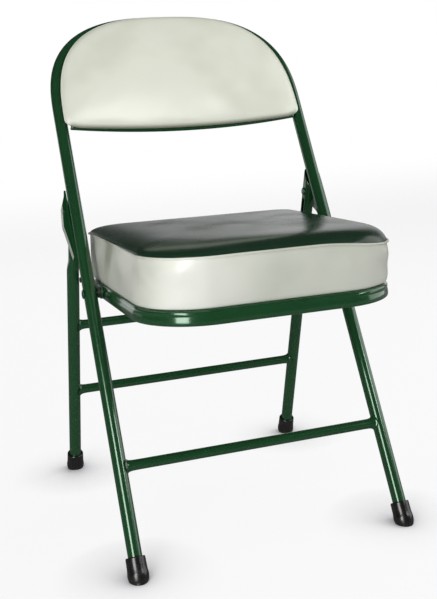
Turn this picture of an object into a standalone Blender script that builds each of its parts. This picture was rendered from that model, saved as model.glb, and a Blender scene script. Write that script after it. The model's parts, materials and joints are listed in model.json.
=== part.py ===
"""Padded folding chair, built as separate named pieces.

Frame: X to the chair's left-right, +Y towards the back, +Z up, metres.
Three rigid groups: the front frame with the back, the rear legs and the seat.
"""
import math

import bpy
import bmesh
import numpy as np
from mathutils import Vector

# Start from an empty scene
for old in list(bpy.data.objects):
    bpy.data.objects.remove(old, do_unlink=True)

# Driving dimensions in millimetres and degrees
TUBE_DIA = 20.6
TUBE_WALL = 1.2
FRAME_HALF = 211.0        # half the spacing of the leg centre lines
FRONT_LEAN = 29.0         # front tube from the vertical
REAR_LEAN = 17.2          # rear leg from the vertical
FOOT_SPREAD = 458.9       # front foot to rear foot along the floor
ARCH_START = 736.0        # where the uprights start to bend, along the tube
ARCH_TOP = 910.3          # centre line at the top of the arch, along the tube
ARCH_POWER = 2.79         # fullness of the arch's shoulders
HINGE_OFFSET = 30.9       # leg pivot behind the upright's centre line
FRONT_BAR_DIA = 15.3
FRONT_BAR_Z = 138.2
REAR_BAR_DIA = 15.5
REAR_BAR_UPPER_Z = 286.9
REAR_BAR_LOWER_Z = 161.1
BAR_WALL = 1.2
SEAT_PIVOT_Z = 372.0
SEAT_TILT = 1.2           # seat lower at the back
SIDE_CLEAR = 8.4          # between the pan's side and the tubes
PAN_FRONT = 272.8         # seat pivot to the pan's front edge
PAN_REAR = 116.0          # seat pivot to the pan's rear edge
PAN_HEIGHT = 24.0
PAN_CORNER = 100.0
PAN_SHEET = 1.4
BOXING_HEIGHT = 69.2      # pan top to the sewn seam
CUSHION_LEAD = 13.0       # seam ahead of the pan at the front
CROWN = 9.5               # seat top above the seam
REAR_CORNER = 48.0
PAD_BOTTOM = 697.0        # along the upright
PAD_DEPTH = 21.0
PANEL_BOTTOM = 692.0
FOOT_LENGTH = 36.0
FOOT_TOP_DIA = 25.4
FOOT_DIA = 30.6
PIN_RADIUS = 4.0
RIVET_HEAD = 7.2
PLATE_THICK = 3.0
BRACKET_THICK = 2.8
LEG_SQUASH = 8.8          # half the squashed leg's thickness
LEG_SHIFT = 2.0           # squashed part sits inwards by this much
GAP = 0.3                 # clearance between touching pieces
TUBE_SIDES = 20

# Values that follow from the driving dimensions
TUBE_R = TUBE_DIA / 2
LEAN = math.radians(FRONT_LEAN)
BACK = math.radians(REAR_LEAN)
TILT = math.radians(SEAT_TILT)
OPEN_ANGLE = LEAN + BACK
PAN_HALF = FRAME_HALF - TUBE_R - SIDE_CLEAR
PIVOT_T = (FOOT_SPREAD * math.cos(LEAN) - HINGE_OFFSET) / math.sin(OPEN_ANGLE)
PIVOT_S = FOOT_SPREAD * math.sin(LEAN) + PIVOT_T * math.cos(OPEN_ANGLE)
SEAT_PIVOT_Y = SEAT_PIVOT_Z * math.tan(LEAN)
REACH_NUM = FOOT_SPREAD - SEAT_PIVOT_Z * math.tan(BACK) - SEAT_PIVOT_Y
STUD_REACH = REACH_NUM / (math.cos(TILT) - math.sin(TILT) * math.tan(BACK))
LEG_INNER = FRAME_HALF - LEG_SHIFT - LEG_SQUASH
LEG_OUTER = FRAME_HALF - LEG_SHIFT + LEG_SQUASH
BRACKET_IN = PAN_HALF + GAP
BRACKET_OUT = BRACKET_IN + BRACKET_THICK
PLATE_IN = FRAME_HALF + TUBE_R + GAP
PLATE_OUT = PLATE_IN + PLATE_THICK
SIDES = (("left", -1.0), ("right", 1.0))

GREEN_PAINT = (0.012, 0.075, 0.035, 1.0)
PALE_VINYL = (0.62, 0.63, 0.55, 1.0)
GREEN_VINYL = (0.03, 0.06, 0.05, 1.0)
BLACK_RUBBER = (0.012, 0.012, 0.012, 1.0)
BARE_STEEL = (0.42, 0.43, 0.42, 1.0)
BOARD_WOOD = (0.35, 0.24, 0.14, 1.0)
PALE_FOAM = (0.72, 0.66, 0.48, 1.0)


# Frames of reference
def frame_point(x, s, n):
    """Point from x, the distance s up the front tube and n behind its plane."""
    y = s * math.sin(LEAN) + n * math.cos(LEAN)
    z = s * math.cos(LEAN) - n * math.sin(LEAN)
    return (x, y, z)


def leg_point(x, t, b):
    """Point from x, the distance t up the rear leg and b behind its centre line."""
    y = FOOT_SPREAD - t * math.sin(BACK) + b * math.cos(BACK)
    z = t * math.cos(BACK) + b * math.sin(BACK)
    return (x, y, z)


def seat_point(x, y, z):
    """Point from the seat's own axes, whose origin is the seat pivot."""
    wy = SEAT_PIVOT_Y + y * math.cos(TILT) + z * math.sin(TILT)
    wz = SEAT_PIVOT_Z - y * math.sin(TILT) + z * math.cos(TILT)
    return (x, wy, wz)


# Mesh helpers
def paint(name, colour, metallic, roughness):
    """One Principled material per object."""
    mat = bpy.data.materials.new(name)
    mat.use_nodes = True
    shader = mat.node_tree.nodes["Principled BSDF"]
    shader.inputs["Base Color"].default_value = colour
    shader.inputs["Metallic"].default_value = metallic
    shader.inputs["Roughness"].default_value = roughness
    return mat


def make(name, verts, faces, colour=None, metallic=0.0, roughness=0.4):
    """Object from millimetre points."""
    points = np.asarray(verts, float) * 0.001
    mesh = bpy.data.meshes.new(name)
    mesh.from_pydata([tuple(p) for p in points], [], faces)
    work = bmesh.new()
    work.from_mesh(mesh)
    bmesh.ops.recalc_face_normals(work, faces=work.faces)
    work.to_mesh(mesh)
    work.free()
    obj = bpy.data.objects.new(name, mesh)
    bpy.context.scene.collection.objects.link(obj)
    if colour is None:
        obj.hide_render = True
        obj.display_type = 'WIRE'
    else:
        mesh.materials.append(paint(name, colour, metallic, roughness))
    return obj


def loft(rings, closed=False):
    """Quads between rings of equal length; open lofts get flat end caps."""
    count = len(rings[0])
    verts = [tuple(p) for ring in rings for p in ring]
    faces = []
    spans = len(rings) if closed else len(rings) - 1
    for i in range(spans):
        a = i * count
        b = ((i + 1) % len(rings)) * count
        for j in range(count):
            k = (j + 1) % count
            faces.append((a + j, a + k, b + k, b + j))
    if not closed:
        last = (len(rings) - 1) * count
        faces.append(tuple(range(count - 1, -1, -1)))
        faces.append(tuple(range(last, last + count)))
    return verts, faces


def cut(obj, cutter):
    """Take the cutter away from the object."""
    mod = obj.modifiers.new("cut_" + cutter.name, 'BOOLEAN')
    mod.operation = 'DIFFERENCE'
    mod.solver = 'EXACT'
    mod.object = cutter


def cross_rings(point, profile, sides=20):
    """Rings of a lathe about X: point gives the axis, profile holds (x, radius)."""
    rings = []
    for x, radius in profile:
        ring = []
        for i in range(sides):
            a = 2 * math.pi * i / sides
            ring.append((x, point[1] + radius * math.cos(a), point[2] + radius * math.sin(a)))
        rings.append(ring)
    return rings


def mirrored(rings, side):
    """Copy of the rings on the given side of the chair."""
    return [[(side * p[0], p[1], p[2]) for p in ring] for ring in rings]


def hole(name, point, x0, x1, radius):
    """Round cutter along X."""
    verts, faces = loft(cross_rings(point, [(x0, radius), (x1, radius)]))
    return make(name, verts, faces)


def bar_rings(place, radius, tube_radius, sides=16):
    """Rings of a cross bar coped to the legs: place maps x, along, behind to a point."""
    left = []
    right = []
    for i in range(sides):
        a = 2 * math.pi * i / sides
        along = radius * math.sin(a)
        behind = radius * math.cos(a)
        end = FRAME_HALF - math.sqrt((tube_radius + GAP) ** 2 - behind ** 2)
        left.append(place(-end, along, behind))
        right.append(place(end, along, behind))
    return left, right


def cross_bar(name, place, dia):
    """Hollow bar between two legs."""
    outer = bar_rings(place, dia / 2, TUBE_R)
    inner = bar_rings(place, dia / 2 - BAR_WALL, TUBE_R)
    verts, faces = loft([outer[0], outer[1], inner[1], inner[0]], closed=True)
    return make(name, verts, faces, GREEN_PAINT, 0.0, 0.25)


def resample(points, count, closed=False):
    """Points spaced evenly along a polyline."""
    pts = np.asarray(points, float)
    if closed:
        pts = np.vstack([pts, pts[:1]])
    step = np.linalg.norm(np.diff(pts, axis=0), axis=1)
    length = np.concatenate([[0.0], np.cumsum(step)])
    stops = np.linspace(0.0, length[-1], count + 1 if closed else count)
    if closed:
        stops = stops[:-1]
    return np.stack([np.interp(stops, length, pts[:, k]) for k in range(pts.shape[1])], axis=1)


# Front frame tube
def arch(half, start, top, power, count):
    """Arch in x and s from the right shoulder to the left one."""
    a = np.linspace(0.0, math.pi, 400)
    x = half * np.sign(np.cos(a)) * np.abs(np.cos(a)) ** (2 / power)
    s = start + (top - start) * np.abs(np.sin(a)) ** (2 / power)
    return resample(np.stack([x, s], axis=1), count)


FOOT_STAND = (4.0 + TUBE_R * math.sin(LEAN)) / math.cos(LEAN) + 0.8
straight = np.array([FOOT_STAND, 0.35 * ARCH_START, 0.7 * ARCH_START])
right_side = np.stack([np.full(3, FRAME_HALF), straight], axis=1)
left_side = np.stack([np.full(3, -FRAME_HALF), straight[::-1]], axis=1)
bow = arch(FRAME_HALF, ARCH_START, ARCH_TOP, ARCH_POWER, 41)
path = np.vstack([right_side, bow, left_side])
tangent = np.gradient(path, axis=0)
tangent[:3] = (0.0, 1.0)
tangent[-3:] = (0.0, -1.0)
tangent[3] = (0.0, 1.0)
tangent[-4] = (0.0, -1.0)
tangent /= np.linalg.norm(tangent, axis=1)[:, None]
outward = np.stack([tangent[:, 1], -tangent[:, 0]], axis=1)


def tube_rings(radius):
    """Rings of the bent front tube."""
    rings = []
    for centre, out in zip(path, outward):
        ring = []
        for i in range(TUBE_SIDES):
            a = 2 * math.pi * i / TUBE_SIDES
            q = centre + out * radius * math.cos(a)
            ring.append(frame_point(q[0], q[1], radius * math.sin(a)))
        rings.append(ring)
    return rings


tube_shell = tube_rings(TUBE_R) + tube_rings(TUBE_R - TUBE_WALL)[::-1]
verts, faces = loft(tube_shell, closed=True)
front_tube = make("front_frame_tube", verts, faces, GREEN_PAINT, 0.0, 0.25)
SEAT_AXIS = (0.0, SEAT_PIVOT_Y, SEAT_PIVOT_Z)
LEG_AXIS = leg_point(0.0, PIVOT_T, 0.0)
for side_name, side in SIDES:
    x0 = side * (FRAME_HALF - TUBE_R - 3)
    x1 = side * (FRAME_HALF + TUBE_R + 3)
    cut(front_tube, hole("cut_tube_" + side_name, SEAT_AXIS, x0, x1, PIN_RADIUS + GAP))

FRONT_BAR_S = FRONT_BAR_Z / math.cos(LEAN)
cross_bar("front_stretcher", lambda x, u, b: frame_point(x, FRONT_BAR_S + u, b), FRONT_BAR_DIA)

# Back panel, a sheet with a rolled lower edge
PANEL_SHEET = 1.5
PANEL_EDGE = 4.0          # panel's edge inside the tube's centre line
PANEL_MID = math.sqrt(TUBE_R ** 2 - PANEL_EDGE ** 2) + GAP + PANEL_SHEET / 2
PANEL_ROLL = 3.2
PANEL_INNER = FRAME_HALF - 2 * TUBE_R
PANEL_OUTER = FRAME_HALF - PANEL_EDGE
PANEL_TOP = ARCH_TOP - PANEL_EDGE
PANEL_SAG = 12.0


def panel_top(x):
    """Upper edge of the panel above a given x."""
    part = min(abs(x) / (PANEL_OUTER + 0.05), 1.0)
    rise = (1.0 - part ** ARCH_POWER) ** (1 / ARCH_POWER)
    return ARCH_START + (PANEL_TOP - ARCH_START) * rise


def panel_low(x):
    """Lowest line of the panel's rolled edge."""
    return PANEL_BOTTOM + PANEL_SAG * (x / FRAME_HALF) ** 2


ROLL_STEPS = 6
PANEL_ROWS = 9
inner_x = list(np.linspace(-PANEL_INNER, PANEL_INNER, 29))
ear_x = list(np.linspace(PANEL_INNER, PANEL_OUTER, 5)[1:])
columns = [-x for x in ear_x[::-1]] + inner_x + ear_x
index = {}
verts = []
for i, x in enumerate(columns):
    ear = abs(x) > PANEL_INNER + 0.01
    low = panel_low(x) + PANEL_ROLL
    for j in range(ROLL_STEPS):
        if ear:
            continue
        a = math.pi * 1.15 * (ROLL_STEPS - j) / ROLL_STEPS
        n = PANEL_MID - PANEL_ROLL + PANEL_ROLL * math.cos(a)
        index[(i, j)] = len(verts)
        verts.append(frame_point(x, low - PANEL_ROLL * math.sin(a), -n))
    edge = (abs(x) - PANEL_INNER) / (PANEL_OUTER - PANEL_INNER)
    start = low + 20.0 + 8.0 * edge ** 2 if ear else low
    for j in range(PANEL_ROWS):
        if ear and j == 0:
            continue
        if j == 0:
            s = low
        else:
            first = start if ear else low + 20.0
            s = first + (panel_top(x) - first) * (j - 1) / (PANEL_ROWS - 2)
        index[(i, ROLL_STEPS + j)] = len(verts)
        verts.append(frame_point(x, s, -PANEL_MID))
faces = []
for i in range(len(columns) - 1):
    for j in range(ROLL_STEPS + PANEL_ROWS - 1):
        corner = [(i, j), (i + 1, j), (i + 1, j + 1), (i, j + 1)]
        if all(c in index for c in corner):
            faces.append(tuple(index[c] for c in corner))
panel = make("back_panel", verts, faces, GREEN_PAINT, 0.0, 0.3)
thick = panel.modifiers.new("sheet", 'SOLIDIFY')
thick.thickness = PANEL_SHEET * 0.001
thick.offset = 0.0
thick.use_even_offset = True

# Back pad and its board
PAD_HALF = FRAME_HALF - 3.0
PAD_TOP = ARCH_TOP + 1.0
PAD_WAIST = ARCH_START - 18.0
PAD_SAG = 9.0
PAD_BACK = PANEL_MID + PANEL_SHEET / 2 + GAP
PAD_MIDDLE = 0.5 * (PAD_BOTTOM + PAD_TOP)
BOARD_THICK = 3.0
PAD_STEPS = 72


def pad_outline():
    """Closed outline of the pad in x and s, from the middle of its lower edge."""
    turn = PAD_HALF - 25.0
    xs = np.linspace(0.0, turn, 20)
    lower = np.stack([xs, PAD_BOTTOM + PAD_SAG * (xs / turn) ** 2], axis=1)
    p0 = lower[-1]
    p1 = np.array([PAD_HALF - 3.0, PAD_BOTTOM + PAD_SAG + 4.0])
    p2 = np.array([PAD_HALF, PAD_WAIST])
    w = np.linspace(0.0, 1.0, 20)[1:, None]
    corner = (1 - w) ** 2 * p0 + 2 * w * (1 - w) * p1 + w ** 2 * p2
    upper = arch(PAD_HALF, PAD_WAIST, PAD_TOP, ARCH_POWER, 60)
    half = np.vstack([lower, corner, upper[1:30]])
    other = half[::-1].copy()
    other[:, 0] *= -1.0
    return resample(np.vstack([half, other[:-1]]), PAD_STEPS, closed=True)


outline = pad_outline()


def pad_ring(scale, depth):
    """Ring of the pad's outline drawn in towards its middle, at a depth before the tube plane."""
    ring = []
    for x, s in outline:
        ring.append(frame_point(scale * x, PAD_MIDDLE + scale * (s - PAD_MIDDLE), -depth))
    return ring


BOARD_SCALE = 0.90
pocket = PAD_BACK + BOARD_THICK + 2 * GAP
pad_profile = [
    (0.45, pocket), (BOARD_SCALE + 0.008, pocket), (BOARD_SCALE + 0.008, PAD_BACK),
    (0.972, PAD_BACK), (0.990, PAD_BACK + 0.9), (0.998, PAD_BACK + 2.4), (1.0, PAD_BACK + 4.2),
    (0.997, PAD_BACK + 0.33 * PAD_DEPTH), (0.985, PAD_BACK + 0.50 * PAD_DEPTH),
    (0.962, PAD_BACK + 0.65 * PAD_DEPTH), (0.92, PAD_BACK + 0.79 * PAD_DEPTH),
    (0.84, PAD_BACK + 0.89 * PAD_DEPTH), (0.68, PAD_BACK + 0.96 * PAD_DEPTH),
    (0.42, PAD_BACK + 0.99 * PAD_DEPTH), (0.16, PAD_BACK + PAD_DEPTH),
]
verts, faces = loft([pad_ring(scale, depth) for scale, depth in pad_profile])
make("back_pad", verts, faces, PALE_VINYL, 0.0, 0.4)
board = [pad_ring(BOARD_SCALE, PAD_BACK + GAP), pad_ring(BOARD_SCALE, PAD_BACK + GAP + BOARD_THICK)]
verts, faces = loft(board)
make("back_board", verts, faces, BOARD_WOOD, 0.0, 0.7)

# Hinge plates, in distance up the upright and behind it
ARM = HINGE_OFFSET
SEAT_S = SEAT_PIVOT_Z / math.cos(LEAN)
TAIL = 0.66 * (PIVOT_S - SEAT_S)
plate_outline = [
    (PIVOT_S + 25.0, 1.0), (PIVOT_S + 25.0, 7.0), (PIVOT_S + 19.0, 10.0),
    (PIVOT_S + 17.5, ARM - 4.0), (PIVOT_S + 15.5, ARM + 6.0), (PIVOT_S + 10.0, ARM + 13.0),
    (PIVOT_S + 1.0, ARM + 18.5), (PIVOT_S - 10.0, ARM + 24.0), (PIVOT_S - 16.0, ARM + 26.0),
    (PIVOT_S - 22.0, ARM + 24.5), (PIVOT_S - 29.0, ARM + 18.0), (PIVOT_S - TAIL + 2.5, 6.5),
    (PIVOT_S - TAIL, 4.0), (PIVOT_S - TAIL + 1.0, 1.0),
]
for side_name, side in SIDES:
    rings = []
    for x in (PLATE_IN, PLATE_OUT):
        rings.append([frame_point(side * x, s, n) for s, n in plate_outline])
    verts, faces = loft(rings)
    plate = make("hinge_plate_" + side_name, verts, faces, GREEN_PAINT, 0.0, 0.3)
    x0 = side * (PLATE_IN - 2)
    x1 = side * (PLATE_OUT + 2)
    cut(plate, hole("cut_plate_" + side_name, LEG_AXIS, x0, x1, PIN_RADIUS + GAP))

    # Leg pivot rivet with a low head at each end, and the washer on it
    inner = LEG_INNER - GAP
    outer = PLATE_OUT + GAP
    profile = [
        (inner - 2.4, RIVET_HEAD * 0.55), (inner - 1.6, RIVET_HEAD * 0.88), (inner - 0.6, RIVET_HEAD),
        (inner, RIVET_HEAD), (inner, PIN_RADIUS), (outer, PIN_RADIUS), (outer, RIVET_HEAD),
        (outer + 0.6, RIVET_HEAD), (outer + 1.6, RIVET_HEAD * 0.88), (outer + 2.4, RIVET_HEAD * 0.55),
    ]
    verts, faces = loft(mirrored(cross_rings(LEG_AXIS, profile), side))
    make("leg_pivot_rivet_" + side_name, verts, faces, GREEN_PAINT, 0.0, 0.3)
    w0 = LEG_OUTER + GAP
    w1 = PLATE_IN - GAP
    ring = [(w0, PIN_RADIUS + GAP), (w0, 9.5), (w1, 9.5), (w1, PIN_RADIUS + GAP)]
    verts, faces = loft(mirrored(cross_rings(LEG_AXIS, ring), side), closed=True)
    make("leg_washer_" + side_name, verts, faces, BARE_STEEL, 1.0, 0.35)

# Rear legs: round below, squashed above the seat, mitred against the upright
SQUASH_DEEP = TUBE_R + 0.9
MITRE = TUBE_R + GAP + 0.05
SLOT_LOW = math.hypot(LEG_AXIS[1] - seat_point(0, STUD_REACH, 0)[1],
                      LEG_AXIS[2] - seat_point(0, STUD_REACH, 0)[2])
FOLD_PART = math.asin(HINGE_OFFSET / STUD_REACH)
SLOT_HIGH = PIVOT_S - SEAT_S - STUD_REACH * math.cos(FOLD_PART)
STUD_RADIUS = 4.5
SQUASH_LOW = PIVOT_T - 0.85 * SLOT_LOW
SQUASH_HIGH = PIVOT_T - 0.66 * SLOT_LOW


def leg_ring(side, t, thin, mitre=False):
    """Ring of a rear leg; thin is the wall taken off."""
    w = min(max((t - SQUASH_LOW) / (SQUASH_HIGH - SQUASH_LOW), 0.0), 1.0)
    w = w * w * (3 - 2 * w)
    hx = TUBE_R + (LEG_SQUASH - TUBE_R) * w - thin
    hb = TUBE_R + (SQUASH_DEEP - TUBE_R) * w - thin
    power = 2.0 / (2.0 + 0.9 * w)
    ring = []
    for i in range(TUBE_SIDES):
        a = 2 * math.pi * i / TUBE_SIDES
        c, s = math.cos(a), math.sin(a)
        x = FRAME_HALF - LEG_SHIFT * w + hx * math.copysign(abs(c) ** power, c)
        b = hb * math.copysign(abs(s) ** power, s)
        at = t
        if mitre:
            at = PIVOT_T + (HINGE_OFFSET + b * math.cos(OPEN_ANGLE) - MITRE) / math.sin(OPEN_ANGLE)
        ring.append(leg_point(side * x, at, b))
    return ring


blend = np.linspace(SQUASH_LOW, SQUASH_HIGH, 6)
stops = [FOOT_STAND, 0.3 * PIVOT_T, 0.6 * PIVOT_T] + list(blend) + [PIVOT_T - 30.0]
for side_name, side in SIDES:
    outer = [leg_ring(side, t, 0.0) for t in stops] + [leg_ring(side, PIVOT_T, 0.0, True)]
    inner = [leg_ring(side, t, TUBE_WALL) for t in stops] + [leg_ring(side, PIVOT_T, TUBE_WALL, True)]
    verts, faces = loft(outer + inner[::-1], closed=True)
    leg = make("rear_leg_" + side_name, verts, faces, GREEN_PAINT, 0.0, 0.25)
    x0 = side * (LEG_INNER - 3)
    x1 = side * (LEG_OUTER + 3)
    cut(leg, hole("cut_leg_" + side_name, LEG_AXIS, x0, x1, PIN_RADIUS + GAP))
    radius = STUD_RADIUS + GAP
    rings = []
    for x in (LEG_INNER - 3, LEG_INNER + 5):
        ring = []
        for i in range(13):
            a = math.pi * i / 12
            ring.append(leg_point(side * x, PIVOT_T - SLOT_HIGH + radius * math.sin(a), radius * math.cos(a)))
        for i in range(13):
            a = math.pi + math.pi * i / 12
            ring.append(leg_point(side * x, PIVOT_T - SLOT_LOW + radius * math.sin(a), radius * math.cos(a)))
        rings.append(ring)
    verts, faces = loft(rings)
    cut(leg, make("cut_slot_" + side_name, verts, faces))

for bar_name, bar_z in (("rear_upper_stretcher", REAR_BAR_UPPER_Z), ("rear_lower_stretcher", REAR_BAR_LOWER_Z)):
    bar_t = bar_z / math.cos(BACK)
    cross_bar(bar_name, lambda x, u, b, t=bar_t: leg_point(x, t + u, b), REAR_BAR_DIA)


# Rubber feet: caps on the tube ends, flat where they stand
def foot_rings(side, place, sides=24):
    """Rings of a foot from the floor up its outside and down its bore."""
    r0 = FOOT_DIA / 2
    r1 = FOOT_TOP_DIA / 2
    bore = TUBE_R + GAP
    floor = FOOT_STAND - GAP
    profile = [
        (0.60 * r0, -20.0), (0.80 * r0, -4.5), (0.93 * r0, -0.5), (r0, 5.0), (0.985 * r0, 10.0),
        (0.93 * r0, 18.0), (r1, FOOT_LENGTH - 3.0), (r1 - 0.9, FOOT_LENGTH), (bore, FOOT_LENGTH), (bore, floor),
    ]
    rings = []
    for radius, t in profile:
        ring = []
        for i in range(sides):
            a = 2 * math.pi * i / sides
            u = radius * math.cos(a)
            b = radius * math.sin(a)
            p = place(side * (FRAME_HALF + u), t, b)
            if p[2] < 0.0:
                q = place(side * (FRAME_HALF + u), t + 1.0, b)
                grow = -p[2] / (q[2] - p[2])
                p = (p[0], p[1] + grow * (q[1] - p[1]), 0.0)
            ring.append(p)
        rings.append(ring)
    return rings


for side_name, side in SIDES:
    verts, faces = loft(foot_rings(side, frame_point))
    make("front_foot_" + side_name, verts, faces, BLACK_RUBBER, 0.0, 0.7)
    verts, faces = loft(foot_rings(side, leg_point))
    make("rear_foot_" + side_name, verts, faces, BLACK_RUBBER, 0.0, 0.7)


# Seat outline: a rounded rectangle about the seat pivot
def seat_ring(half, front, rear, front_corner, rear_corner, z, inset=0.0):
    """Closed ring of the seat, drawn in by inset."""
    hw = half - inset
    yf = -front + inset
    yb = rear - inset
    rf = max(front_corner - inset, 4.0)
    rb = max(rear_corner - inset, 4.0)
    rf = min(rf, hw - 1.0)
    rb = min(rb, hw - 1.0)
    pts = []
    for x in np.linspace(0.0, hw - rf, 4)[:-1]:
        pts.append((x, yf))
    for a in np.linspace(-90.0, 0.0, 10):
        pts.append((hw - rf + rf * math.cos(math.radians(a)), yf + rf + rf * math.sin(math.radians(a))))
    for y in np.linspace(yf + rf, yb - rb, 5)[1:-1]:
        pts.append((hw, y))
    for a in np.linspace(0.0, 90.0, 8):
        pts.append((hw - rb + rb * math.cos(math.radians(a)), yb - rb + rb * math.sin(math.radians(a))))
    for x in np.linspace(hw - rb, 0.0, 4)[1:]:
        pts.append((x, yb))
    left = [(-x, y) for x, y in pts[-2:0:-1]]
    return [seat_point(x, y, z) for x, y in pts + left]


# Seat pan: a shallow steel tray, open below, with a rolled rim
PAN_TOP = PAN_HEIGHT / 2
pan_outer = [
    (60.0, 1.00, 26.0), (8.0, 1.00, 18.0), (3.6, 0.87, 13.0), (1.1, 0.50, 7.0), (0.0, 0.0, 1.0),
    (0.2, -0.50, -3.0), (1.5, -0.87, -3.0), (4.6, -1.00, -2.0), (9.2, -1.00, 0.0),
]
pan_inner = [
    (9.2, -0.88, 0.0), (5.2, -0.88, -2.0), (2.9, -0.78, -3.0), (1.6, -0.45, -3.0), (1.4, 0.0, 1.0),
    (2.5, 0.45, 7.0), (4.6, 0.76, 13.0), (8.4, 0.88, 18.0), (60.0, 0.88, 26.0),
]
rings = []
for inset, height, tighter in pan_outer + pan_inner:
    corner = PAN_CORNER + inset - tighter
    rings.append(seat_ring(PAN_HALF, PAN_FRONT, PAN_REAR, corner, REAR_CORNER, height * PAN_TOP, inset))
verts, faces = loft(rings)
pan = make("seat_pan", verts, faces, GREEN_PAINT, 0.0, 0.25)
for side_name, side in SIDES:
    x0 = side * (PAN_HALF - 6)
    x1 = side * (PAN_HALF + 3)
    cut(pan, hole("cut_pan_" + side_name, SEAT_AXIS, x0, x1, PIN_RADIUS + GAP))

# Cushion: board, foam, pale boxing sewn round it, green top and welt
CUSHION_BASE = PAN_TOP + GAP
SEAM_Z = PAN_TOP + BOXING_HEIGHT
SEAT_BOARD = 9.0
BOARD_INSET = 26.0
LOW_HALF = PAN_HALF - 3.3
LOW_FRONT = PAN_FRONT - 3.4
LOW_REAR = PAN_REAR - 2.0
LOW_CORNER = PAN_CORNER - 14.0
TOP_HALF = PAN_HALF - 8.0
TOP_FRONT = PAN_FRONT + CUSHION_LEAD
TOP_REAR = PAN_REAR + 2.0
TOP_CORNER = PAN_CORNER - 26.0
BULGE = 3.0
VINYL = 2.2                # boxing with its padding


def boxing_ring(part, z, inset=0.0):
    """Ring of the cushion's side; part runs from 0 at the pan to 1 at the seam."""
    half = LOW_HALF + (TOP_HALF - LOW_HALF) * part
    front = LOW_FRONT + (TOP_FRONT - LOW_FRONT) * part
    rear = LOW_REAR + (TOP_REAR - LOW_REAR) * part
    corner = LOW_CORNER + (TOP_CORNER - LOW_CORNER) * part
    swell = BULGE * math.sin(math.pi * part)
    return seat_ring(half, front, rear, corner, REAR_CORNER, z, inset - swell)


crown_insets = [
    (6.0, 0.30), (12.0, 0.40), (24.0, 0.52), (50.0, 0.70),
    (0.52 * PAN_HALF, 0.90), (0.83 * PAN_HALF, 1.00),
]
COVER_THICK = 2.6
roof = SEAT_BOARD + CUSHION_BASE + 2 * GAP


def side_rings(inset):
    """Rings up the cushion's side, drawn in by inset, from the pan to just under the seam."""
    rows = [boxing_ring(0.0, CUSHION_BASE, inset + 3.5)]
    for part in (0.03, 0.12, 0.3, 0.5, 0.7, 0.88, 0.98):
        tuck = 1.2 if part < 0.1 else 0.0
        rows.append(boxing_ring(part, CUSHION_BASE + (SEAM_Z - CUSHION_BASE) * part, inset + tuck))
    rows.append(boxing_ring(1.0, SEAM_Z, inset + 2.6))
    return rows


verts, faces = loft(side_rings(0.0) + side_rings(VINYL)[::-1], closed=True)
make("seat_cushion", verts, faces, PALE_VINYL, 0.0, 0.4)

rings = [
    boxing_ring(0.0, roof, 0.62 * PAN_HALF), boxing_ring(0.0, roof, BOARD_INSET),
    boxing_ring(0.0, CUSHION_BASE, BOARD_INSET),
] + side_rings(VINYL + GAP)
for inset, rise in crown_insets:
    rings.append(boxing_ring(1.0, SEAM_Z + rise * CROWN - COVER_THICK - GAP + 0.9, inset))
verts, faces = loft(rings)
make("seat_foam", verts, faces, PALE_FOAM, 0.0, 0.8)

rings = [boxing_ring(0.0, CUSHION_BASE + GAP, BOARD_INSET + 0.8)]
rings.append(boxing_ring(0.0, CUSHION_BASE + GAP + SEAT_BOARD, BOARD_INSET + 0.8))
verts, faces = loft(rings)
make("seat_board", verts, faces, BOARD_WOOD, 0.0, 0.7)

rings = []
for inset, rise in crown_insets[::-1]:
    rings.append(boxing_ring(1.0, SEAM_Z + rise * CROWN - COVER_THICK + 0.9, inset))
rings.append(boxing_ring(1.0, SEAM_Z + GAP + 0.1, 2.6))
rings.append(boxing_ring(1.0, SEAM_Z + GAP + 0.1, 0.5))
rings.append(boxing_ring(1.0, SEAM_Z + 1.2, 0.0))
rings.append(boxing_ring(1.0, SEAM_Z + 0.19 * CROWN + 0.5, 1.8))
for inset, rise in crown_insets:
    rings.append(boxing_ring(1.0, SEAM_Z + rise * CROWN + 0.9, inset))
verts, faces = loft(rings)
make("seat_top", verts, faces, GREEN_VINYL, 0.0, 0.45)

WELT_R = 1.5
rings = []
WELT_SIDES = 8
for i in range(WELT_SIDES):
    a = 2 * math.pi * i / WELT_SIDES
    rings.append(boxing_ring(1.0, SEAM_Z + WELT_R * math.sin(a), -(WELT_R + GAP) - WELT_R * math.cos(a)))
verts, faces = loft(rings, closed=True)
make("seat_welt", verts, faces, PALE_VINYL, 0.0, 0.4)

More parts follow.
